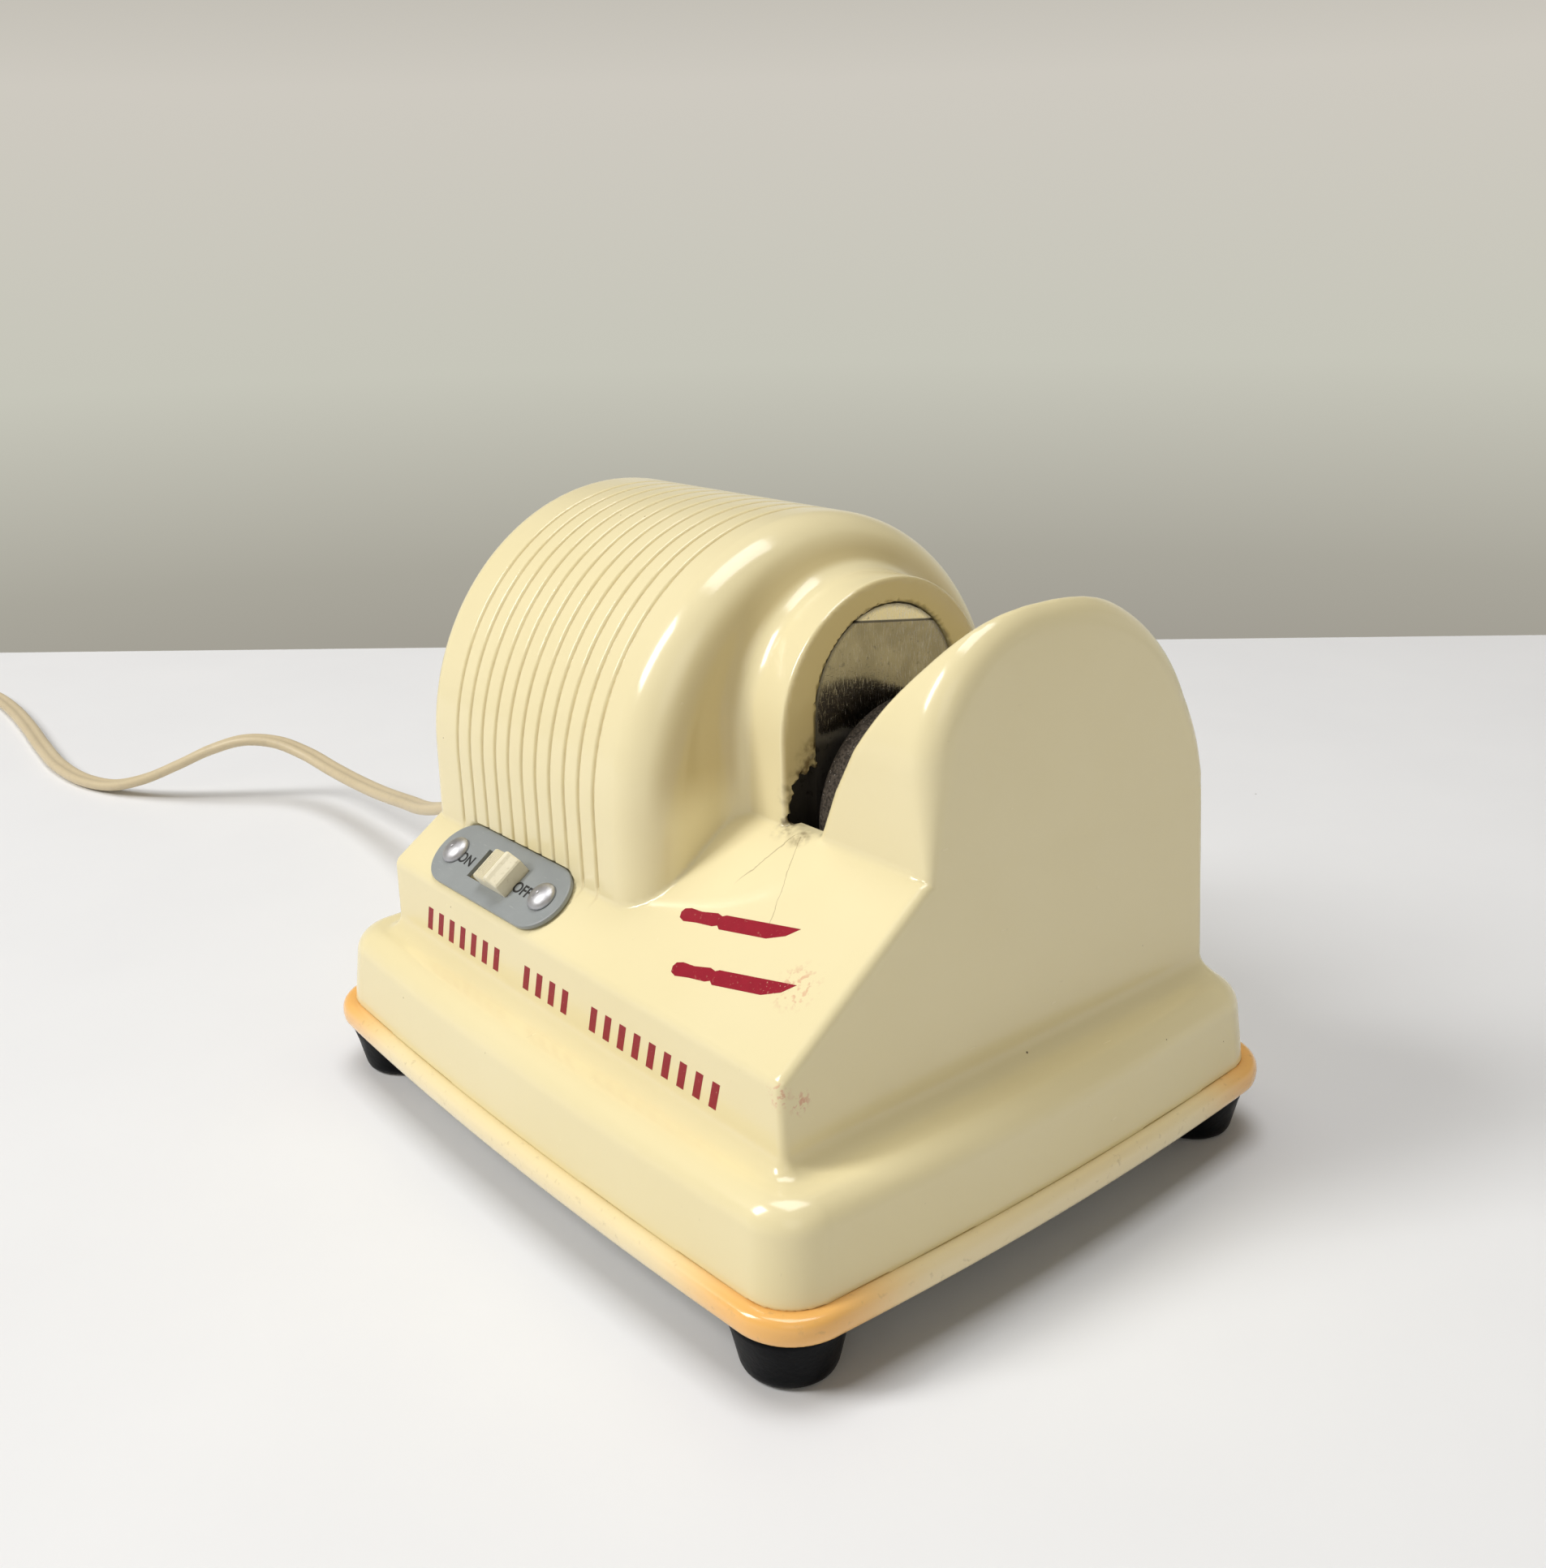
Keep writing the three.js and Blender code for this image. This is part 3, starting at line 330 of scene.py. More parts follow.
def cord_section():
    """Two round cores with a shallow valley between them, anticlockwise."""
    side = np.radians(np.linspace(-118, 118, 9))
    lobe = [(CORD_WIDTH / 2 - CORE + CORE * math.cos(a), CORE * math.sin(a)) for a in side]
    return [*lobe, (0, 0.86), *[(-x, -z) for x, z in lobe], (0, -0.86)]


def tube_faces(rows, n):
    """Faces of a tube made of rows of n points, with both ends closed."""
    faces = []
    for i in range(rows - 1):
        for j in range(n):
            k = (j + 1) % n
            faces.append((i * n + j, i * n + k, (i + 1) * n + k, (i + 1) * n + j))
    return [*faces, tuple(range(n - 1, -1, -1)), tuple(range((rows - 1) * n, rows * n))]


def swept(name, line, section, finish, upright=(0, 0, 1)):
    """A tube of the given section along a line. The section's first axis stays level."""
    line = np.array(line)
    along = np.gradient(line, axis=0)
    along /= np.linalg.norm(along, axis=1)[:, None]
    across = np.cross(along, np.array(upright, float))
    across /= np.linalg.norm(across, axis=1)[:, None]
    rise = np.cross(across, along)
    rings = zip(line, across, rise)
    points = np.concatenate([[p + s * a + z * r for s, z in section] for p, a, r in rings])
    faces = [face[::-1] for face in tube_faces(len(line), len(section))]
    return piece(name, points, faces, finish)


vinyl = Finish("beige_vinyl", Roughness=0.42, Specular_IOR_Level=0.4)
aged = vinyl.noise(22, 3.0)
dust = vinyl.noise(2.2, 5.0).rises(0.52, 0.75)
core_colour = vinyl.mix(aged, (0.56, 0.46, 0.29), (0.66, 0.56, 0.38))
vinyl.set(Base_Color=vinyl.mix(dust * 0.35, core_colour, (0.50, 0.42, 0.30)))
vinyl.bump(vinyl.noise(0.8, 4.0), 0.06)

cord_line = smooth_line([*ROUTE, *coil_points(), *TAIL], 1.6)
cord = swept("mains_cord", cord_line, cord_section(), vinyl)
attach(cord, "case")
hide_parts("cord_run", "cord_coil", "cord_tail")
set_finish(cord, "cord_vinyl")

# The coil is held by a strip of stiff paper, 2.4 mm wide, wrapped round it once.
TIE_TURN = 2.5  # where it sits round the coil
TIE_LOOP = [
    (19.2, 5), (19.2, 10.4), (20.4, 11.7), (28, 12), (36, 11.7), (37.6, 10.4), (38.1, 5),
    (37.4, 0.9), (35, 0.35), (28, 0.3), (21.4, 0.35), (19.4, 1.2), (19.2, 4.6),
]  # fmt: skip
tie_finish = Finish("tie_paper", Roughness=0.6)
creased = tie_finish.noise(1.5, 4.0)
tie_finish.set(Base_Color=tie_finish.mix(creased, (0.80, 0.78, 0.72), (0.62, 0.60, 0.55)))
tie_finish.bump(tie_finish.noise(0.5, 3.0), 0.05)
tie_x, tie_y = math.cos(TIE_TURN), math.sin(TIE_TURN)
tie_line = smooth_line([(COIL_X + r * tie_x, COIL_Y + r * tie_y, z) for r, z in TIE_LOOP], 0.8)
tie_section = [(0.2, -1.2), (0.2, 1.2), (-0.2, 1.2), (-0.2, -1.2)]
tie = swept("cord_tie", tie_line, tie_section, tie_finish, (-tie_y, tie_x, 0))
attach(tie, "case")
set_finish(tie, "cord_vinyl")

# ---- Housing ----
# One hollow moulding of glossy ivory plastic: skirt, sloping front, grooved motor drum, the boss
# beside the wheel and the guard over it. The bowed skirt sits on the amber edging, and four posts
# inside take the foot screws.
WALL = 2.4
BODY_HALF, FRONT, BACK, DECK = 54.6, -45.4, 48.4, 63.0
SLOPE_FOOT, SLOPE_TOP = (-45.4, 42.3), (-16.3, 63.0)
SKIRT_X, SKIRT_Y, SKIRT_BOTTOM, SKIRT_TOP, BOW = 67.8, 56.0, 13.9, 28.4, 1.7
SHAFT_Y, SHAFT_Z = 6.2, 62.3
DRUM_END, DRUM_HALF, DRUM_RISE, DRUM_ROUND = 11.7, 42.1, 44.5, 8.5
GROOVE_FIRST, GROOVE_PITCH, GROOVE_HALF, GROOVE_DEEP = -44.6, 4.33, 0.34, 0.6
GROOVES = [GROOVE_FIRST + GROOVE_PITCH * i for i in range(11)]
RING_FACE, BOSS_R, BOSS_SPRING = 23.0, 22.5, 76.2
GUARD_TOP, GUARD_SPRING, GUARD_R = 99.7, 77.2, 22.5
GUARD_BACK_Y, GUARD_BACK_SPRING, GUARD_BACK_R = 9.5, 60.8, 38.9
SLOT_EDGE = [  # height, and x of the guard's leaning wall
    (55, 27.5), (62.7, 30.5), (71.4, 34), (78.8, 38), (86.1, 42.8), (92, 47), (99, 51.4), (110, 58),
]  # fmt: skip
LIP = 13.75  # where the moulding ends, inside the edging
RING_MID, WINDOW_R, WINDOW_SPRING, WINDOW_FOOT = 21.8, 15.6, 79.0, 71.4
RELIEF_R, RELIEF_TOP, POCKET_R = 21.3, 71.5, 19.6
CORD_HOLE_R, CORD_Z = 4.6, 35.6
FOOT_X, FOOT_Y, POST_R, SCREW_HOLE_R = 57.5, 46.5, 4, 1.8
PIN_Y, PIN_Z, PIN_R = 17.6, 78, 1.1
SLOPE = math.atan2(SLOPE_TOP[1] - SLOPE_FOOT[1], SLOPE_TOP[0] - SLOPE_FOOT[0])
SWITCH_AT = (-25.4, -39.85, SLOPE_FOOT[1] + (-39.85 - SLOPE_FOOT[0]) * math.tan(SLOPE))


def meet(a, b, radius):
    """What is inside both, with the edge where they cross rounded to radius."""
    over = np.hypot(np.maximum(a + radius, 0), np.maximum(b + radius, 0))
    return np.minimum(np.maximum(a, b), -radius) + over


def blend(a, b, radius):
    """What is inside either, with a hollow fillet of the radius where they join."""
    under = np.hypot(np.maximum(radius - a, 0), np.maximum(radius - b, 0))
    return np.maximum(np.minimum(a, b), radius) - under


def arch(y, z, half, spring, rise):
    """Depth inside an upright arch about the shaft's plane: straight sides, elliptical top."""
    across, above = y - SHAFT_Y, np.maximum(z - spring, 0)
    ratio = np.hypot(across / half, above / rise) + 1e-9
    steep = np.hypot(across / half**2, above / rise**2) + 1e-9
    return ratio * (ratio - 1) / steep


def bowed(x, y, half_x, half_y, corner):
    """Depth inside a rectangle with round corners whose sides bow outwards."""
    end_x, end_y = half_x - BOW - corner, half_y - BOW - corner
    side_x = half_x - BOW * np.minimum(np.abs(y) / end_y, 1) ** 2
    side_y = half_y - BOW * np.minimum(np.abs(x) / end_x, 1) ** 2
    return meet(np.abs(x) - side_x, np.abs(y) - side_y, corner)


def switch_frame(x, y, z):
    """Places in the switch's own frame: along it, up the slope, out of the slope."""
    up, out = y - SWITCH_AT[1], z - SWITCH_AT[2]
    run, rise = math.cos(SLOPE), math.sin(SLOPE)
    return x - SWITCH_AT[0], up * run + out * rise, out * run - up * rise


def outside(x, y, z):
    """Depth inside the housing as if it were solid, without the slot and the wheel's pocket."""
    draft = 0.1 * np.clip(z - SKIRT_BOTTOM, -3, 14)
    skirt = meet(bowed(x, y, SKIRT_X - draft, SKIRT_Y - draft, 8.5), z - SKIRT_TOP, 4.0)
    slope = (z - SLOPE_FOOT[1]) * math.cos(SLOPE) - (y - SLOPE_FOOT[0]) * math.sin(SLOPE)
    spread = 0.042 * np.clip(DECK - z, 0, 36)
    profile = meet(meet(FRONT - y, slope, 0.9), meet(y - BACK - spread, z - DECK, 1.5), 0.8)
    lower = meet(profile, np.abs(x) - BODY_HALF - spread, 1.4)
    body = blend(lower, skirt, 3.0)
    flush = np.clip((53 - np.abs(x)) / 2, 0.02, 1) * np.clip((46.6 - y) / 2, 0.02, 1)
    drum_side = arch(y, z, DRUM_HALF, SHAFT_Z, DRUM_RISE)
    drum = meet(meet(drum_side, x - DRUM_END, DRUM_ROUND), -BODY_HALF - spread - x, 3)
    for middle in GROOVES:
        away = (x - middle) / GROOVE_HALF
        drum = drum + GROOVE_DEEP * np.exp(-away * away) * np.clip((lower - 0.2) / 0.8, 0, 1)
    boss_side = arch(y, z, BOSS_R, BOSS_SPRING, BOSS_R)
    boss = np.maximum(meet(boss_side, x - RING_FACE, 0.8), -x)
    drum = blend(drum, boss, 4.8)
    body = blend(body, drum, 0.5 * flush)
    shoulder = np.hypot(y - SHAFT_Y, np.maximum(z - GUARD_SPRING, 0)) - GUARD_R
    back_shoulder = np.hypot(y - GUARD_BACK_Y, np.maximum(z - GUARD_BACK_SPRING, 0)) - GUARD_BACK_R
    behind = np.where(y > GUARD_BACK_Y, back_shoulder, z - GUARD_TOP)
    guard = np.where(y < SHAFT_Y, shoulder, behind)
    guard = meet(guard, x - BODY_HALF - spread, 1.5 + 3.0 * np.clip((z - 64) / 14, 0, 1))
    levels, edges = zip(*SLOT_EDGE)
    guard = meet(guard, (np.interp(z, levels, edges) - x) * 0.88, 1.3)
    guard = np.maximum(guard, 48 - z)
    return blend(body, guard, flush)


def housing_depth(x, y, z):
    """Depth inside the housing's wall: below 0 in the plastic."""
    solid = outside(x, y, z)
    shell = meet(solid, LIP - z, 0.7)
    shell = meet(shell, -(solid + WALL), 0.3)
    from_shaft = np.hypot(y - SHAFT_Y, z - SHAFT_Z)
    chipped = RELIEF_R + 0.35 * np.sin(y * 2.3) * np.sin(z * 1.7) + 0.25 * np.sin(y * 5.1 + z * 3)
    relief = np.maximum(from_shaft - chipped, np.abs(x - RING_MID) - 1.6)
    relief = np.maximum(relief, z - RELIEF_TOP - 0.3 * (y + 8) - 0.5 * np.sin(y * 2.9))
    pocket = np.maximum(from_shaft - POCKET_R, np.abs(x - 29.2) - 6.3)
    window_side = arch(y, z, WINDOW_R, WINDOW_SPRING, WINDOW_R)
    window = np.maximum(window_side, np.abs(x - RING_MID) - 3)
    window = meet(window, WINDOW_FOOT - z, 1)
    cord_hole = np.maximum(np.hypot(y, z - CORD_Z) - CORD_HOLE_R, x + 49)
    along, up, out = switch_frame(x, y, z)
    pill = np.hypot(np.maximum(np.abs(along) - 13.15, 0), up) - 6.55
    recess = np.maximum(pill, np.abs(out - 0.71) - 0.7)
    slider_hole = np.maximum(np.maximum(np.abs(along) - 7.6, np.abs(up) - 4.4), np.abs(out) - 5)
    for tool in (relief, pocket, window, cord_hole, recess, slider_hole):
        shell = meet(shell, -tool, 0.25)
    from_foot = np.hypot(np.abs(x) - FOOT_X, np.abs(y) - FOOT_Y)
    post = np.maximum(from_foot - POST_R, 11.6 - z)
    post = np.maximum(np.maximum(post, z - 27), solid + 0.5)
    screw_hole = np.maximum(from_foot - SCREW_HOLE_R, z - 23.6)
    pin = np.hypot(np.abs(y - SHAFT_Y) - PIN_Y, z - PIN_Z) - PIN_R
    pin = np.maximum(pin, np.abs(x - 19.3) - 1.6)
    return np.maximum(np.minimum(np.minimum(shell, post), pin), -screw_hole)


def grid_surface(depth, xs, ys, zs):
    """The surface where depth is 0, as points and four-sided faces, one point to a grid cell."""
    inside = depth < 0
    cells = [n - 1 for n in depth.shape]
    counts = np.zeros(math.prod(cells))
    sums = [np.zeros(math.prod(cells)) for _ in range(3)]
    faces = []
    lines = (xs, ys, zs)
    below, above = slice(None, -1), slice(1, None)
    for axis in range(3):
        low = tuple(below if i == axis else slice(None) for i in range(3))
        high = tuple(above if i == axis else slice(None) for i in range(3))
        crossing = inside[low] != inside[high]
        at = np.argwhere(crossing)
        a, b = depth[low][crossing], depth[high][crossing]
        part = a / (a - b)
        spot = [lines[i][at[:, i]].astype(float) for i in range(3)]
        spot[axis] = spot[axis] + part * (lines[axis][at[:, axis] + 1] - lines[axis][at[:, axis]])
        u, v = (axis + 1) % 3, (axis + 2) % 3
        ring = []
        for du, dv in ((0, 0), (1, 0), (1, 1), (0, 1)):
            cell = at.copy()
            cell[:, u] -= du
            cell[:, v] -= dv
            index = np.ravel_multi_index(cell.T, cells, mode="clip")
            counts += np.bincount(index, minlength=counts.size)
            for i in range(3):
                sums[i] += np.bincount(index, spot[i], counts.size)
            ring.append(index)
        quads = np.stack(ring, 1)
        outward = inside[low][crossing]
        faces.append(np.where(outward[:, None], quads, quads[:, ::-1]))
    used = np.flatnonzero(counts)
    points = np.stack([s[used] / counts[used] for s in sums], 1)
    number = np.full(counts.size, -1)
    number[used] = np.arange(len(used))
    return points, number[np.concatenate(faces)]


def settle(depth, points, rounds=2):
    """Moves points on to the surface where depth is 0, and gives its outward direction there."""
    step = 0.03
    for left in range(rounds, -1, -1):
        here = depth(*points.T)
        slope = np.stack([depth(*(points + step * e).T) - here for e in np.eye(3)], 1) / step
        steep = (slope**2).sum(1) + 1e-6
        if left:
            points = points - np.clip(here / steep, -0.4, 0.4)[:, None] * slope
    return points, slope / np.sqrt(steep)[:, None]


HOUSING_TRIANGLES = 185000


def thinned(made, most):
    """Merges the flattest triangles until the piece has the most allowed, and settles it."""
    thin = made.modifiers.new("thin", "DECIMATE")
    thin.ratio = min(1.0, most / (2 * len(made.data.polygons)))
    shown = made.evaluated_get(bpy.context.evaluated_depsgraph_get())
    made.data = bpy.data.meshes.new_from_object(shown)
    made.modifiers.clear()
    places = np.empty(3 * len(made.data.vertices))
    made.data.vertices.foreach_get("co", places)
    places, normals = settle(housing_depth, places.reshape(-1, 3) * 1000, 1)
    made.data.vertices.foreach_set("co", (places / 1000).ravel())
    made.data.normals_split_custom_set_from_vertices(normals.tolist())


fine = 0.75
grid_x = [np.arange(-69, -47, fine), np.arange(-47, 1.2, 0.24), np.arange(1.4, 70, fine)]
grid_x = np.concatenate(grid_x)
grid_y = np.arange(-57.2, 57.6, fine)
grid_z = np.arange(10.4, 108, fine)
grid_depth = housing_depth(grid_x[:, None, None], grid_y[None, :, None], grid_z[None, None, :])
shell_points, shell_faces = grid_surface(grid_depth.astype(np.float32), grid_x, grid_y, grid_z)
shell_points = settle(housing_depth, shell_points)[0]

ivory = Finish("ivory_plastic", Specular_IOR_Level=0.5, Coat_Roughness=0.08, Coat_Weight=0.25)
ivory_x, ivory_y, ivory_z = ivory.axes()
climb = (ivory_y - SLOPE_FOOT[0]) / math.cos(SLOPE)  # distance up the slope
# The plastic is more yellow in random patches, and more yellow and darker towards the bottom.
yellower_share = ivory.noise(38, 3.0) * 0.7 + ivory_z.rises(34, 10) * 0.4
ivory_colour = ivory.mix(yellower_share, (0.87, 0.78, 0.50), (0.80, 0.69, 0.38))
# Painted shade: the drum's end face and the ring's face in the recess beside the wheel are painted
# darker and browner.
by_drum_end = ivory_x.rises(9, 11.8) * ivory_x.rises(14, 12.4)
by_ring = ivory_x.rises(22.2, 22.9) * ivory_x.rises(26, 24)
painted_shade_by_wheel = (by_drum_end + by_ring) * ivory_z.rises(62, 72)
ivory_colour = ivory.mix(painted_shade_by_wheel * 0.75, ivory_colour, (0.56, 0.45, 0.215))
over_drum = ivory_z.rises(47, 50) * ivory_x.rises(1.5, 0.5) * ivory_x.rises(-47, -46)
groove_place = (ivory_x - GROOVE_FIRST + GROOVE_PITCH / 2) / GROOVE_PITCH
in_groove = abs(ivory.maths("FRACT", groove_place) - 0.5).rises(0.10, 0.04)
groove_dirt = in_groove * over_drum * (ivory.noise(2.4, 4.0) * 0.55)
ivory_colour = ivory.mix(groove_dirt, ivory_colour, (0.44, 0.31, 0.13))
pits = ivory.specks(5, 0.034, 0.3)
flecks = ivory.specks(14, 0.018, 0.5)
ivory_colour = ivory.mix(pits * 0.75, ivory_colour, (0.20, 0.13, 0.06))
ivory_colour = ivory.mix(flecks * 0.9, ivory_colour, (0.10, 0.06, 0.03))
wiggle = ivory.noise(3.0, 3.0) * 1.3 - 0.65


def hairline(start, end, width):
    """1 along a crack in the slope between two points, given as x and the distance up it."""
    run, rise = end[0] - start[0], end[1] - start[1]
    long = math.hypot(run, rise)
    off = ((ivory_x - start[0]) * (rise / long) - (climb - start[1]) * (run / long)) + wiggle
    way = (ivory_x - start[0]) * (run / long) + (climb - start[1]) * (rise / long)
    return abs(off).rises(width, width * 0.4) * way.rises(-0.3, 0.3) * way.rises(long, long - 3)


def near(point, reach):
    """1 at a point on the plastic, falling to 0 at the reach."""
    gap = ivory.node("VectorMath", {"operation": "DISTANCE"}, {0: ivory.place, 1: point}, "Value")
    return gap.rises(reach, reach * 0.25)


crack = hairline((26.2, 35.0), (22.4, 23.0), 0.16) + hairline((27.4, 35.0), (35.6, 17.0), 0.10)
crack = crack * ivory_z.rises(63.2, 62.8)
ivory_colour = ivory.mix(crack * 0.5, ivory_colour, (0.30, 0.22, 0.12))
slot_dirt = near((27.2, -17.0, 62.8), 3.0) * ivory.noise(1.6, 5.0).rises(0.30, 0.75)
ring_dirt = near((23, -8.6, 71.5), 7.5) + near((23, -13.5, 68), 5.0) * 0.7
ring_dirt = ring_dirt + near((23, -15.5, 62), 4.0)
ring_dirt = ring_dirt * ivory_x.rises(20.5, 22.0) * ivory.noise(1.5, 6.0).rises(0.25, 0.75)
ivory_colour = ivory.mix(slot_dirt * 0.7, ivory_colour, (0.14, 0.09, 0.04))
ivory_colour = ivory.mix(ring_dirt.rises(0.0, 1.0) * 0.85, ivory_colour, (0.12, 0.075, 0.028))
rubs = near((46.5, -34.5, 50), 5.0) * 0.75 + near((55, -46, 40.5), 3.0)
rubs = rubs + near((55.2, -42, 38.5), 2.5)
rubs = rubs * ivory.noise(1.0, 5.0).rises(0.5, 0.62)
ivory_colour = ivory.mix(rubs * 0.5, ivory_colour, (0.62, 0.10, 0.08))
scratches = ivory.noise(1.2, 2.0, ivory.stretched(1.6, 0.25, 0.9)).rises(0.74, 0.78)
ivory.set(Base_Color=ivory.mix(scratches * 0.12, ivory_colour, (0.5, 0.42, 0.26)))
ivory.set(Roughness=ivory.noise(7, 4.0) * 0.12 + 0.12 + scratches * 0.1 + groove_dirt * 0.4)
ivory.bump(ivory.noise(6, 2.0) * 0.5 + ivory.noise(0.9, 2.0) * 0.04 - crack * 0.15, 0.05)

housing = piece("ivory_housing", shell_points, shell_faces, ivory)
thinned(housing, HOUSING_TRIANGLES)
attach(housing, "case")
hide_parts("housing")
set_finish(housing, "housing_ivory")

# ---- Red printing ----
# Marks printed in one pass of deep red ink on the front wall and the slope: three runs of slanted
# bars, and two small knives. The ink is a film 0.03 mm thick and is rubbed at its edges.
INK = 0.03
BAR_RUNS = [(-44.2, 7), (-11.4, 4), (8.4, 9)]  # left end of each run and its number of bars
BAR_PITCH, BAR_WIDTH, BAR_LOW, BAR_HIGH, BAR_LEAN = 3.85, 1.7, 32.1, 36.7, 1.3
KNIFE = [
    (0, 0.3), (0.3, -0.7), (1.4, -1.25), (4, -1.1), (7.4, -1.2), (8.3, -0.9), (9, -1.5),
    (18.4, -1.5),
    (21.6, -0.5), (23.6, 1.1), (9, 1.1), (8.3, 0.8), (7.2, 1.2), (4, 0.95), (1.6, 1.25), (0.4, 1.0),
]  # fmt: skip
KNIFE_SPOTS = [(17.2, 15.4, 12), (23.6, 7.2, 13)]  # each butt's x and way up the slope, and turn

red_ink = Finish("red_ink", Roughness=0.4, Specular_IOR_Level=0.25)
ink_wear = red_ink.noise(0.5, 5.0).rises(0.64, 0.70)
worn_end = red_ink.axes()[0].rises(38, 46)
ink_colour = red_ink.mix(red_ink.noise(1.5, 3.0), (0.25, 0.004, 0.018), (0.33, 0.008, 0.026))
ink_gone = ink_wear * (worn_end * 0.7 + 0.12)
red_ink.set(Base_Color=red_ink.mix(ink_gone, ink_colour, (0.80, 0.62, 0.42)))
red_ink.bump(red_ink.noise(0.4, 3.0), 0.01)
print_points, print_faces = [], []


def stamp(outline, on_surface):
    """Adds one flat mark: its outline, given anticlockwise, at the plastic and at the ink's top."""
    first, n = len(print_points), len(outline)
    for height in (-INK, INK):
        print_points.extend(on_surface(a, b, height) for a, b in outline)
    print_faces.append(tuple(first + n + j for j in range(n)))
    print_faces.append(tuple(first + j for j in reversed(range(n))))
    for j in range(n):
        k = (j + 1) % n
        print_faces.append((first + j, first + k, first + n + k, first + n + j))


def on_wall(x, z, out):
    return (x, FRONT - out, z)


def up_slope(x, up, out):
    c, s = math.cos(SLOPE), math.sin(SLOPE)
    return (x, SLOPE_FOOT[0] + up * c - out * s, SLOPE_FOOT[1] + up * s + out * c)


for left, count in BAR_RUNS:
    for x in left + BAR_PITCH * np.arange(count):
        low, high = (x, x + BAR_WIDTH), (x + BAR_WIDTH + BAR_LEAN, x + BAR_LEAN)
        stamp([(a, BAR_LOW) for a in low] + [(a, BAR_HIGH) for a in high], on_wall)
for x, up, turn in KNIFE_SPOTS:
    c, s = math.cos(math.radians(turn)), math.sin(math.radians(turn))
    stamp([(x + a * c - b * s, up + a * s + b * c) for a, b in KNIFE], up_slope)
red_print = piece("red_print", print_points, print_faces, red_ink, False)
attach(red_print, "case")
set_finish(red_print, "housing_ivory")

# ---- Amber edging ----
# A vinyl strip that wraps the lip of the housing and the base plate. It has yellowed to orange at
# the corners, where hands hold it, and stays pale along the middle of each side.
EDGING_X, EDGING_Y, EDGING_ROUND = 70.25, 58.45, 10.5
EDGING_LOW, EDGING_HIGH, EDGING_DEEP = 9.65, 14.1, 3.9


def bowed_outline(half_x, half_y, corner, steps=14):
    """Anticlockwise points, and their normals, round a round-cornered rectangle that bows out."""
    end_x, end_y = half_x - BOW - corner, half_y - BOW - corner
    made = []
    for turn, (side, end, reach) in enumerate([(half_y, end_x, end_y), (half_x, end_y, end_x)] * 2):
        quarter = -math.pi / 2 + turn * math.pi / 2
        c, s = math.cos(quarter), math.sin(quarter)
        for along in np.linspace(-end, end, 2 * steps, endpoint=False):
            out = side - BOW * (along / end) ** 2
            lean = 2 * BOW * along / end**2 / math.hypot(1, 2 * BOW * along / end**2)
            straight = math.sqrt(1 - lean * lean)
            normal = (c * straight - s * lean, s * straight + c * lean)
            made.append((c * out - s * along, s * out + c * along, *normal))
        for bend in np.linspace(0, math.pi / 2, steps, endpoint=False):
            cb, sb = math.cos(quarter + bend), math.sin(quarter + bend)
            mid_x = c * reach - s * end + corner * cb
            made.append((mid_x, s * reach + c * end + corner * sb, cb, sb))
    return made


def ring_faces(rows, n):
    """Faces of a closed ring made of rows of n points."""
    faces = []
    for i in range(rows):
        for j in range(n):
            k, m = (j + 1) % n, (i + 1) % rows
            faces.append((i * n + j, m * n + j, m * n + k, i * n + k))
    return faces


def ring_sweep(name, outline, section, finish):
    """A closed strip whose section, in distance out and height, follows the outline."""
    points = [(x + nx * o, y + ny * o, z) for x, y, nx, ny in outline for o, z in section]
    return piece(name, points, ring_faces(len(outline), len(section)), finish)


edging_mid = (EDGING_LOW + EDGING_HIGH) / 2
edging_half = (EDGING_HIGH - EDGING_LOW) / 2
nose = [
    (-1.5 + 1.5 * math.cos(a), edging_mid + edging_half * math.copysign(abs(math.sin(a)) ** 0.8, a))
    for a in np.radians(np.linspace(-90, 90, 13))
]
edging_section = [*nose, (-EDGING_DEEP, EDGING_HIGH), (-EDGING_DEEP, EDGING_LOW)]
amber = Finish("amber_vinyl", Roughness=0.2, Specular_IOR_Level=0.5, Coat_Weight=0.4)
amber_x, amber_y, _ = amber.axes()
corner_x = abs(amber_x).rises(34, 66)
corner_y = abs(amber_y).rises(26, 54)
aged_share = (corner_x * corner_y + 0.28 * amber.noise(26, 3.0)).rises(0.0, 1.15)
amber_colour = amber.node(
    "ValToRGB",
    {"stops": [(0.0, (0.87, 0.75, 0.46)), (0.4, (0.90, 0.66, 0.33)), (1.0, (0.90, 0.49, 0.14))]},
    {"Fac": aged_share},
)
grime = amber.noise(1.4, 5.0).rises(0.6, 0.78) * 0.3
amber.set(Base_Color=amber.mix(grime, amber_colour, (0.33, 0.22, 0.11)))
amber.bump(amber.noise(3.0, 3.0) + amber.noise(0.5, 2.0) * 0.2, 0.05)
edging_outline = bowed_outline(EDGING_X, EDGING_Y, EDGING_ROUND)
edging = ring_sweep("amber_edging", edging_outline, edging_section, amber)
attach(edging, "case")
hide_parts("base_edging")
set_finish(edging, "edging_vinyl")

# ---- Rubber feet ----
# Four tapered black rubber feet, each moulded with a flat ring at the bottom round a deep hole
# for its screw, and a soft rounded edge where it bears on the table.
FOOT_SPOTS = [(-FOOT_X, -FOOT_Y), (FOOT_X, -FOOT_Y), (FOOT_X, FOOT_Y), (-FOOT_X, FOOT_Y)]
FOOT_PROFILE = [
    (1.9, 9.25), (1.9, 5.6), (3.45, 5.5), (3.6, 5.3), (3.6, 0.3), (3.9, 0.02), (5.6, 0.0),
    (6.4, 0.18), (6.95, 0.6), (7.25, 1.3), (7.45, 2.2), (8.3, 6.2), (8.9, 8.3), (8.9, 8.9),
    (8.6, 9.25),
]  # fmt: skip


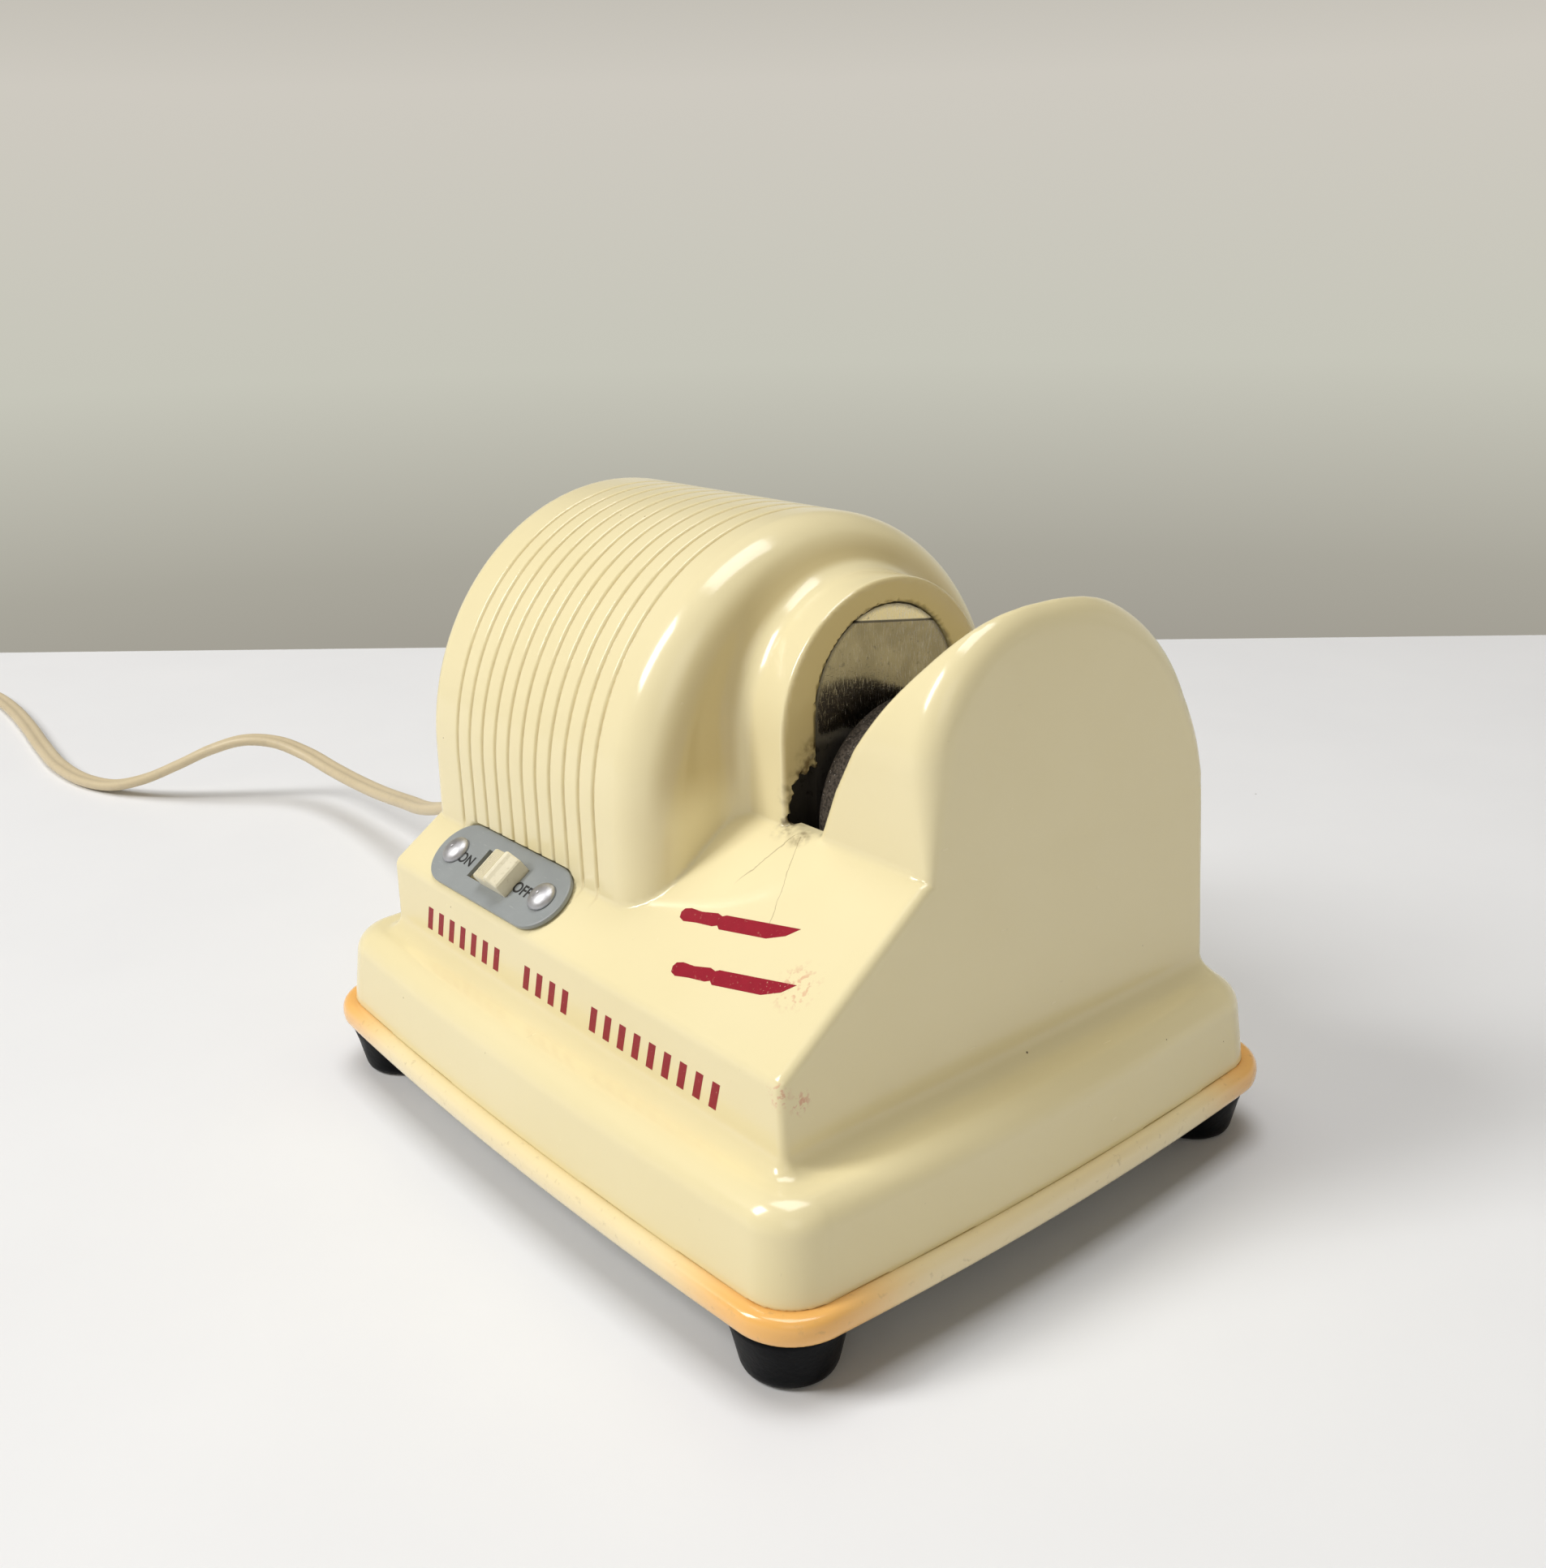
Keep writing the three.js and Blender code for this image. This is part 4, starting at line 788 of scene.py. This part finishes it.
def turned(name, profile, finish, sides=64, place=(0, 0, 0)):
    """A piece turned about an upright axis, from a closed profile of radius and height."""
    points = []
    px, py, pz = place
    for i in range(sides):
        a = 2 * math.pi * i / sides
        points += [(px + r * math.cos(a), py + r * math.sin(a), pz + z) for r, z in profile]
    return piece(name, points, ring_faces(sides, len(profile)), finish)


rubber = Finish("black_rubber", Specular_IOR_Level=0.1)
rubber_dust = rubber.noise(2.5, 5.0).rises(0.55, 0.85) * 0.3
foot_low = rubber.axes()[2].rises(1.4, 0.0) * 0.25
rubber_colour = rubber.mix(rubber_dust, (0.0012, 0.0018, 0.003), (0.012, 0.012, 0.015))
rubber.set(Base_Color=rubber.mix(foot_low, rubber_colour, (0.05, 0.05, 0.05)))
rubber.set(Roughness=rubber.noise(3.0, 4.0) * 0.3 + 0.3)
rubber.bump(rubber.noise(0.7, 4.0), 0.05)
for number, (x, y) in enumerate(FOOT_SPOTS, 1):
    foot = turned(f"rubber_foot_{number}", FOOT_PROFILE, rubber, place=(x, y, 0))
    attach(foot, "case")
    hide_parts(f"foot_{number}")
    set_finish(foot, "black_rubber")

# ---- Slide switch ----
# A grey enamelled plate held by two domed aluminium rivets. ON and OFF are printed beside the
# ivory slider, which has fine ribs on its left and a ridge for the thumb.
PLATE_LENGTH, PLATE_WIDTH, PLATE_LOW, PLATE_TOP = 39.0, 12.7, 0.32, 1.1
SLIDER_HOLE = (6.6, 3.4)  # half size of the slider's window
RIVET_X, RIVET_R, RIVET_TAIL, RIVET_DOME = 14.3, 2.75, 3.6, 1.3
KNOB_MID = 2.2  # the slider rests at OFF
LETTER_HEIGHT = 0.0029
WORDS = [("ON", -10.1), ("OFF", 8.7)]


def on_slope(points):
    """Points from the switch's frame to the sharpener's."""
    c, s = math.cos(SLOPE), math.sin(SLOPE)
    mx, my, mz = SWITCH_AT
    return [(mx + x, my + u * c - o * s, mz + u * s + o * c) for x, u, o in points]


def pill(length, width, inset=0.0, steps=24):
    """Points round a shape with half-circle ends."""
    straight, r = (length - width) / 2, width / 2 - inset
    made = []
    for end, start in ((1, -90), (-1, 90)):
        for a in np.radians(np.linspace(start, start + 180, steps)):
            made.append((end * straight + r * math.cos(a), r * math.sin(a)))
    return made


def plate_with_window(name, outline_at, hole, low, top, round_edge, finish):
    """A plate with a rounded rim and a rectangular window, in the switch's frame."""
    rims = [(outline_at(0), low), (outline_at(0), top - round_edge)]
    rims += [(outline_at(round_edge * 0.3), top - round_edge * 0.3), (outline_at(round_edge), top)]
    n = len(rims[0][0])
    points = [(x, u, z) for rim, z in rims for x, u in rim]
    window = []
    for x, u in rims[-1][0]:
        reach = min(hole[0] / max(abs(x), 1e-6), hole[1] / max(abs(u), 1e-6))
        window.append((x * reach, u * reach))
    for z in (top, low):
        points += [(x, u, z) for x, u in window]
    rows = [*range(len(rims)), len(rims), len(rims) + 1, 0]
    faces = []
    for a, b in zip(rows, rows[1:]):
        for j in range(n):
            k = (j + 1) % n
            faces.append((a * n + j, a * n + k, b * n + k, b * n + j))
    return piece(name, on_slope(points), faces, finish, False)


enamel = Finish("grey_enamel", Specular_IOR_Level=0.45)
fade = enamel.noise(6, 4.0)
scratch = enamel.noise(1.0, 3.0, enamel.stretched(0.4, 3.0, 3.0)).rises(0.66, 0.74) * 0.3
enamel_colour = enamel.mix(fade, (0.25, 0.27, 0.275), (0.31, 0.33, 0.335))
enamel.set(Base_Color=enamel.mix(scratch, enamel_colour, (0.5, 0.5, 0.5)))
enamel.set(Roughness=enamel.noise(2.0, 4.0) * 0.25 + 0.28)
enamel.bump(enamel.noise(0.6, 4.0), 0.015)
switch_plate = plate_with_window(
    "switch_cover_plate",
    lambda inset: pill(PLATE_LENGTH, PLATE_WIDTH, inset),
    SLIDER_HOLE,
    PLATE_LOW,
    PLATE_TOP,
    0.3,
    enamel,
)
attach(switch_plate, "case")
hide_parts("switch_plate")
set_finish(switch_plate, "grey_paint")

ink = Finish("black_ink", Roughness=0.5)
rubbed = ink.noise(0.5, 3.0).rises(0.62, 0.72)
ink.set(Base_Color=ink.mix(rubbed, (0.012, 0.012, 0.012), (0.08, 0.08, 0.08)))
for word, x in WORDS:
    text = bpy.data.curves.new(f"switch_word_{word.lower()}", "FONT")
    text.body, text.size = word, LETTER_HEIGHT
    text.extrude, text.offset = 0.00002, 0.00005
    text.align_x, text.align_y = "CENTER", "CENTER"
    text.materials.append(ink.material)
    word_piece = bpy.data.objects.new(text.name, text)
    word_piece.location = from_mm(on_slope([(x, -0.6, PLATE_TOP + 0.03)]))[0]
    word_piece.rotation_euler = (SLOPE, 0, 0)
    bpy.context.scene.collection.objects.link(word_piece)
    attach(word_piece, "case")
    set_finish(word_piece, "grey_paint")

burnished = Finish("burnished_aluminium", Metallic=1.0)
dulled = burnished.noise(1.2, 4.0)
burnished.set(Base_Color=burnished.mix(dulled, (0.42, 0.42, 0.44), (0.58, 0.58, 0.60)))
burnished.set(Roughness=burnished.noise(0.8, 4.0) * 0.25 + 0.32)
burnished.bump(burnished.noise(0.5, 3.0), 0.02)
rivet_profile = [(1.2, PLATE_TOP - RIVET_TAIL), (1.2, PLATE_TOP + 0.02)]
rivet_profile += [(RIVET_R - 0.05, PLATE_TOP + 0.02), (RIVET_R, PLATE_TOP + 0.15)]
for a in np.radians(range(10, 90, 8)):
    rivet_profile.append((RIVET_R * math.cos(a), PLATE_TOP + 0.15 + RIVET_DOME * math.sin(a)))
rivet_profile += [(0.02, PLATE_TOP + 1.45), (0.02, PLATE_TOP - RIVET_TAIL)]
for number, x in enumerate((-RIVET_X, RIVET_X), 1):
    rivet = turned(f"domed_rivet_{number}", rivet_profile, burnished, 40)
    for vertex in rivet.data.vertices:
        along, up, out = np.array(vertex.co) * 1000
        vertex.co = from_mm(on_slope([(x + along, up, out)]))[0]
    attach(rivet, "case")
    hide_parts(f"switch_rivet_{number}")
    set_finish(rivet, "rivet_aluminium")

knob_ivory = Finish("slider_ivory", Roughness=0.3, Specular_IOR_Level=0.5)
knob_colour = knob_ivory.mix(knob_ivory.noise(3, 3.0), (0.74, 0.68, 0.50), (0.82, 0.77, 0.60))
knob_dirt = knob_ivory.noise(0.8, 4.0).rises(0.55, 0.75) * 0.3
knob_ivory.set(Base_Color=knob_ivory.mix(knob_dirt, knob_colour, (0.38, 0.30, 0.16)))
knob_ivory.bump(knob_ivory.noise(0.6, 3.0), 0.02)
knob_side = [(-4.1, -3.4), (-4.1, 3.3), (-3.85, 3.62)]
for i in range(11):
    x = -3.6 + i * 0.42
    rise = 3.75 + 0.3 * (x + 3.6) / 4.6
    knob_side += [(x, rise), (x + 0.22, rise + 0.02)]
    knob_side += [(x + 0.27, rise - 0.16), (x + 0.36, rise - 0.16)]
knob_side += [(1.1, 4.9), (1.35, 5.25), (1.75, 5.35), (2.1, 5.2), (2.6, 4.75), (3.4, 4.3)]
knob_side += [(3.9, 4.0), (4.1, 3.7), (4.1, -3.4)]
knob_rows = [(-3.1, 0.25), (-2.85, 0.0), (2.85, 0.0), (3.1, 0.25)]
knob_points = []
for up, drop in knob_rows:
    for x, z in knob_side:
        knob_points.append((KNOB_MID + x * (1 - drop * 0.04), up, z - drop if z > 3 else z))
knob_faces = tube_faces(len(knob_rows), len(knob_side))
knob = piece("slider_knob", on_slope(knob_points), knob_faces, knob_ivory, False)
carriage_box = [(x, u, z) for x in (-3.8, 6.2) for u in (-4.4, 4.4) for z in (-4.6, -3.4)]
carriage_faces = [(0, 1, 3, 2), (4, 6, 7, 5), (0, 4, 5, 1)]
carriage_faces += [(2, 3, 7, 6), (0, 2, 6, 4), (1, 5, 7, 3)]
carriage = piece("slider_carriage", on_slope(carriage_box), carriage_faces, knob_ivory, False)
for moving in (knob, carriage):
    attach(moving, "slider")
    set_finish(moving, "slider_ivory")
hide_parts("switch_slider")

# ---- Grinding wheel and shaft ----
# A vitrified aluminium-oxide wheel, brown-grey with steel dust, clamped between two pressed
# flanges by a brass nut. Its edges are worn round by the knives.
WHEEL = [
    (2.55, 33.8), (2.55, 24.8), (16.4, 24.8), (17.2, 25.05), (17.65, 25.6), (17.8, 26.4),
    (17.8, 32.4), (17.65, 33.1), (17.2, 33.55), (16.4, 33.8),
]  # fmt: skip


def turned_on_shaft(name, profile, finish, sides=96):
    """A piece turned about the motor shaft, from a profile of radius and x."""
    made = turned(name, profile, finish, sides)
    for vertex in made.data.vertices:
        across, up, along = vertex.co
        vertex.co = (along, SHAFT_Y / 1000 + across, SHAFT_Z / 1000 + up)
    return made


def dress(finish, *nodes):
    """Gives CAD nodes a finish. Their shapes stay as they are."""
    for name in nodes:
        node = frame["nodes"][name]
        if not node.material_slots:
            node.data.materials.append(finish.material)
        for holder in node.material_slots:
            holder.material = finish.material
        if "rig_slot" not in node and name in SLOT_OF:
            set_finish(node, SLOT_OF[name])


SLOT_OF = {part["node"]: part["material_slot"] for part in frame["record"]["subparts"]}


def metal(name, dark, light, roughness, grain=(1, 1, 1), depth=0.01):
    """A bare metal: two tones in soft patches, fine grain along the stretched axes, small marks."""
    made = Finish(name, Metallic=1.0)
    lines = made.noise(0.7, 4.0, made.stretched(*grain))
    tone = made.mix(made.noise(5, 4.0) * 0.6 + lines * 0.4, dark, light)
    marks = made.specks(2.5, 0.12, 0.25) * 0.5
    made.set(Base_Color=made.mix(marks, tone, tuple(0.35 * c for c in dark)))
    made.set(Roughness=lines * 0.2 + roughness)
    made.bump(lines, depth)
    return made


abrasive = Finish("abrasive_grit", Roughness=0.85, Specular_IOR_Level=0.3)
grit = abrasive.noise(0.45, 4.0)
grit_colour = abrasive.mix(grit.rises(0.35, 0.65), (0.026, 0.021, 0.016), (0.088, 0.071, 0.056))
steel_dust = abrasive.specks(0.6, 0.2, 0.4)
abrasive.set(Base_Color=abrasive.mix(steel_dust, grit_colour, (0.30, 0.27, 0.25)))
abrasive.bump(grit, 0.18)
wheel = turned_on_shaft("grinding_wheel_worn", WHEEL, abrasive)
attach(wheel, "spindle")
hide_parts("grinding_wheel")
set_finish(wheel, "abrasive")
pressed_steel = metal("pressed_steel", (0.36, 0.35, 0.34), (0.55, 0.54, 0.52), 0.35)
dress(pressed_steel, "inner_flange", "outer_flange")
turned_grain = (4, 0.3, 0.3)
ground_steel = metal(
    "ground_shaft_steel", (0.50, 0.50, 0.50), (0.68, 0.67, 0.66), 0.18, turned_grain
)
dress(ground_steel, "motor_shaft")
dress(metal("nut_brass", (0.52, 0.38, 0.16), (0.72, 0.56, 0.27), 0.28), "arbor_nut")

# ---- Blade guide ----
# A bright steel sheet clipped behind the ring. Knives have scratched it, and black grinding dust
# lies in spots on it. It is darker in a band just inside the window's edge, painted near black
# below the wheel's top as the wheel's painted shadow, and a painted shade line with a painted
# highlight above it stands for a bent top.
guide = Finish("scratched_guide_steel")
guide_x, guide_y, guide_z = guide.axes()
strokes = guide.noise(0.5, 3.0, guide.stretched(1, 2.6, 0.35)).rises(0.5, 0.75)
cross_strokes = guide.noise(0.4, 3.0, guide.stretched(1, 0.4, 2.2)).rises(0.6, 0.75)
arch_place = {0: 0.0, 1: guide_y - SHAFT_Y, 2: guide_z - WINDOW_SPRING}
from_arch_middle = guide.node("CombineXYZ", None, arch_place)
rim = guide.node("VectorMath", {"operation": "LENGTH"}, {0: from_arch_middle}, "Value")
# Darker in a band just inside the window's edge.
dark_window_rim = rim.rises(14.4, 15.5) * guide_z.rises(74, 78)
# Painted shadow: below the wheel's top the plate is painted near black where the wheel shades it.
painted_wheel_shadow = (guide_z + guide.noise(3, 4.0) * 2).rises(77.8, 74.6)
# Painted shade: a dark line where the plate's top would be bent over.
painted_fold_shade = abs(guide_z + guide_y * 0.14 - 92.5).rises(0.28, 0.1) * 0.7
dust_spots = guide.noise(1.4, 5.0).rises(0.6, 0.75) * 0.3
# Real dust spots, the darker band by the window's edge, the painted wheel shadow and the painted
# fold shade together darken and dull the plate.
dust_and_painted_shade = dark_window_rim * 0.6 + painted_wheel_shadow * 0.95 + painted_fold_shade + dust_spots
cloud = guide.noise(4, 5.0).rises(0.3, 0.7)
brightness = strokes * 0.4 + cross_strokes * 0.3 + cloud * 0.3
steel_tone = guide.mix(brightness, (0.30, 0.28, 0.24), (0.58, 0.55, 0.48))
# Painted highlight: the strip above that line is painted brighter, as if the bent top caught the
# light.
painted_fold_highlight = (guide_z + guide_y * 0.14).rises(92.4, 92.75)
steel_tone = guide.mix(painted_fold_highlight, steel_tone, (0.80, 0.76, 0.66))
guide.set(Base_Color=guide.mix(dust_and_painted_shade, steel_tone, (0.022, 0.018, 0.014)))
guide.set(Roughness=strokes * 0.14 + 0.14 + dust_and_painted_shade * 0.5)
guide.set(Metallic=1.0 - dust_and_painted_shade.rises(0.0, 0.9) * 0.9)
guide.bump(strokes + cross_strokes * 0.5 + guide.noise(5, 1.0) * 3, 0.02)
dress(guide, "blade_guide_plate")
spring_steel = metal("spring_steel", (0.30, 0.30, 0.32), (0.48, 0.48, 0.50), 0.35)
dress(spring_steel, "guide_clip_1", "guide_clip_2")

# ---- Motor ----
# A shaded-pole motor: a riveted stack of laminations, a bobbin of enamelled wire on its foot, a
# cast rotor, and two pressed brackets that hold sintered bronze bushes.
laminated = Finish("silicon_steel", Metallic=1.0)
sheets = laminated.maths("FRACT", laminated.axes()[0] / 0.5)
sheet_edge = abs(sheets - 0.5).rises(0.34, 0.46)
rust = laminated.noise(4, 5.0).rises(0.58, 0.75)
lamina = laminated.mix(sheet_edge * 0.6, (0.30, 0.30, 0.31), (0.08, 0.08, 0.085))
laminated.set(Base_Color=laminated.mix(rust * 0.4, lamina, (0.22, 0.12, 0.07)))
laminated.set(Roughness=rust * 0.3 + 0.42)
laminated.bump(sheet_edge, -0.08)
dress(laminated, "stator_core", "rotor")

copper = Finish("enamelled_copper", Metallic=0.85, Coat_Weight=0.5, Coat_Roughness=0.15)
WIRE_PITCH = 0.42
wandering = copper.axes()[0] + copper.noise(7, 2.0) * 1.3
# Painted shade and highlight: each turn of wire is painted dark in the hollows between turns and
# bright on its crest.
wires = copper.maths("SINE", wandering * (2 * math.pi / WIRE_PITCH)) * 0.5 + 0.5
wire_painted_shading = copper.mix(wires, (0.16, 0.05, 0.018), (0.58, 0.22, 0.08))
varnish = copper.noise(3, 4.0).rises(0.5, 0.8) * 0.35
copper.set(Base_Color=copper.mix(varnish, wire_painted_shading, (0.30, 0.12, 0.05)))
copper.set(Roughness=wires * -0.1 + 0.4)
copper.bump(wires, 0.15)
dress(copper, "coil_winding")

phenolic = Finish("brown_phenolic", Specular_IOR_Level=0.5)
fibre = phenolic.noise(0.8, 4.0, phenolic.stretched(3, 0.6, 0.6))
phenolic.set(Base_Color=phenolic.mix(fibre, (0.11, 0.045, 0.02), (0.24, 0.11, 0.05)))
phenolic.set(Roughness=fibre * 0.25 + 0.35)
phenolic.bump(fibre, 0.03)
dress(phenolic, "coil_bobbin", "switch_insulator")

bronze = metal("sintered_bronze", (0.28, 0.17, 0.08), (0.46, 0.30, 0.16), 0.45, depth=0.03)
dress(bronze, "front_bearing", "rear_bearing")
fan_metal = metal("fan_aluminium", (0.58, 0.58, 0.59), (0.78, 0.78, 0.79), 0.3, (1, 0.5, 0.5))
dress(fan_metal, "cooling_fan")

zinc = Finish("zinc_plated_steel", Metallic=1.0)
cells = zinc.node("TexVoronoi", None, {"Vector": zinc.place, "Scale": 0.3})
flake = zinc.axes(Wire(zinc, cells.socket.node.outputs["Color"]))[0]
dull = zinc.noise(6, 5.0).rises(0.45, 0.7)
zinc_tone = zinc.mix(flake, (0.42, 0.43, 0.43), (0.58, 0.59, 0.58))
zinc.set(Base_Color=zinc.mix(dull * 0.45, zinc_tone, (0.30, 0.28, 0.24)))
zinc.set(Roughness=dull * 0.2 + flake * 0.1 + 0.3)
zinc.bump(zinc.noise(0.8, 4.0), 0.015)
fixings = ["motor_bolt_1", "motor_bolt_2", "motor_nut_1", "motor_nut_2", "motor_cradle"]
fixings += ["base_plate", "switch_frame", "front_bearing_bracket", "rear_bearing_bracket"]
fixings += ["cradle_screw_front", "cradle_screw_back", "cradle_nut_front", "cradle_nut_back"]
fixings += [f"foot_screw_{i}" for i in range(1, 5)]
dress(zinc, *fixings)
dress(rubber, "motor_pad_front", "motor_pad_back")

# ---- Supply lead, strain relief and plug ----
# The cord comes in through a moulded bush. Inside, its cores run as one lead to the switch's two
# brass tags. The plug is moulded on to the cord in the same beige vinyl, with finger ribs.
lead = Finish("lead_insulation", Specular_IOR_Level=0.45)
weave = lead.noise(0.6, 3.0, lead.stretched(0.6, 2, 2))
lead.set(Base_Color=lead.mix(weave, (0.14, 0.13, 0.12), (0.24, 0.22, 0.19)))
lead.set(Roughness=weave * 0.2 + 0.35)
lead.bump(weave, 0.04)
dress(lead, "supply_lead")
dress(vinyl, "strain_relief")
tag_brass = metal("contact_brass", (0.58, 0.43, 0.19), (0.78, 0.62, 0.32), 0.24, (0.4, 2, 2))
dress(tag_brass, "switch_terminal_1", "switch_terminal_2", "plug_blade_1", "plug_blade_2")

PLUG_MID = (-119.8, 5.0)  # y and z of the plug's middle line
PLUG_SIDES, PLUG_SQUARE, RIB_PITCH = 48, 0.62, 1.8
PLUG_STATIONS = [
    (-394.0, 3.7, 2.2), (-393.4, 4.2, 2.6), (-390, 4.8, 3.0), (-387.4, 6.4, 3.5),
    (-384.6, 9.0, 4.1), (-381.6, 11.2, 4.6), (-378.6, 12.2, 4.9), (-372, 12.5, 5.0),
    (-368.6, 12.45, 4.95), (-367.4, 12.1, 4.6), (-367.0, 11.5, 4.0),
]  # fmt: skip
plug_vinyl = Finish("plug_vinyl", Specular_IOR_Level=0.45)
plug_x = plug_vinyl.axes()[0]
ribs = plug_vinyl.maths("SINE", plug_x * (2 * math.pi / RIB_PITCH)) * 0.5 + 0.5
ribs = ribs * plug_x.rises(-384, -382.5) * plug_x.rises(-371, -372.5)
plug_tone = plug_vinyl.mix(plug_vinyl.noise(8, 4.0), (0.66, 0.55, 0.36), (0.76, 0.65, 0.46))
plug_dirt = plug_vinyl.noise(1.5, 5.0).rises(0.52, 0.75) * 0.35 + (1.0 - ribs) * 0.08
plug_vinyl.set(Base_Color=plug_vinyl.mix(plug_dirt, plug_tone, (0.38, 0.30, 0.19)))
plug_vinyl.set(Roughness=plug_vinyl.noise(3, 4.0) * 0.2 + 0.34)
plug_vinyl.bump(ribs, 0.35)
plug_points, plug_faces = [], []
for x, wide, high in PLUG_STATIONS:
    for a in np.linspace(0, 2 * math.pi, PLUG_SIDES, endpoint=False):
        c, s = math.cos(a), math.sin(a)
        y = math.copysign(abs(c) ** PLUG_SQUARE, c) * wide
        z = math.copysign(abs(s) ** PLUG_SQUARE, s) * high
        plug_points.append((x, PLUG_MID[0] + y, PLUG_MID[1] + z))
for i in range(len(PLUG_STATIONS) - 1):
    for j in range(PLUG_SIDES):
        k = (j + 1) % PLUG_SIDES
        row = i * PLUG_SIDES
        plug_faces.append((row + j, row + k, row + PLUG_SIDES + k, row + PLUG_SIDES + j)[::-1])
plug_faces.append(tuple(range(PLUG_SIDES - 1, -1, -1)))
plug_faces.append(tuple(range(len(plug_points) - PLUG_SIDES, len(plug_points))))
plug = piece("moulded_plug", plug_points, plug_faces, plug_vinyl)
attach(plug, "case")
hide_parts("plug_body")
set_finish(plug, "plug_moulding")
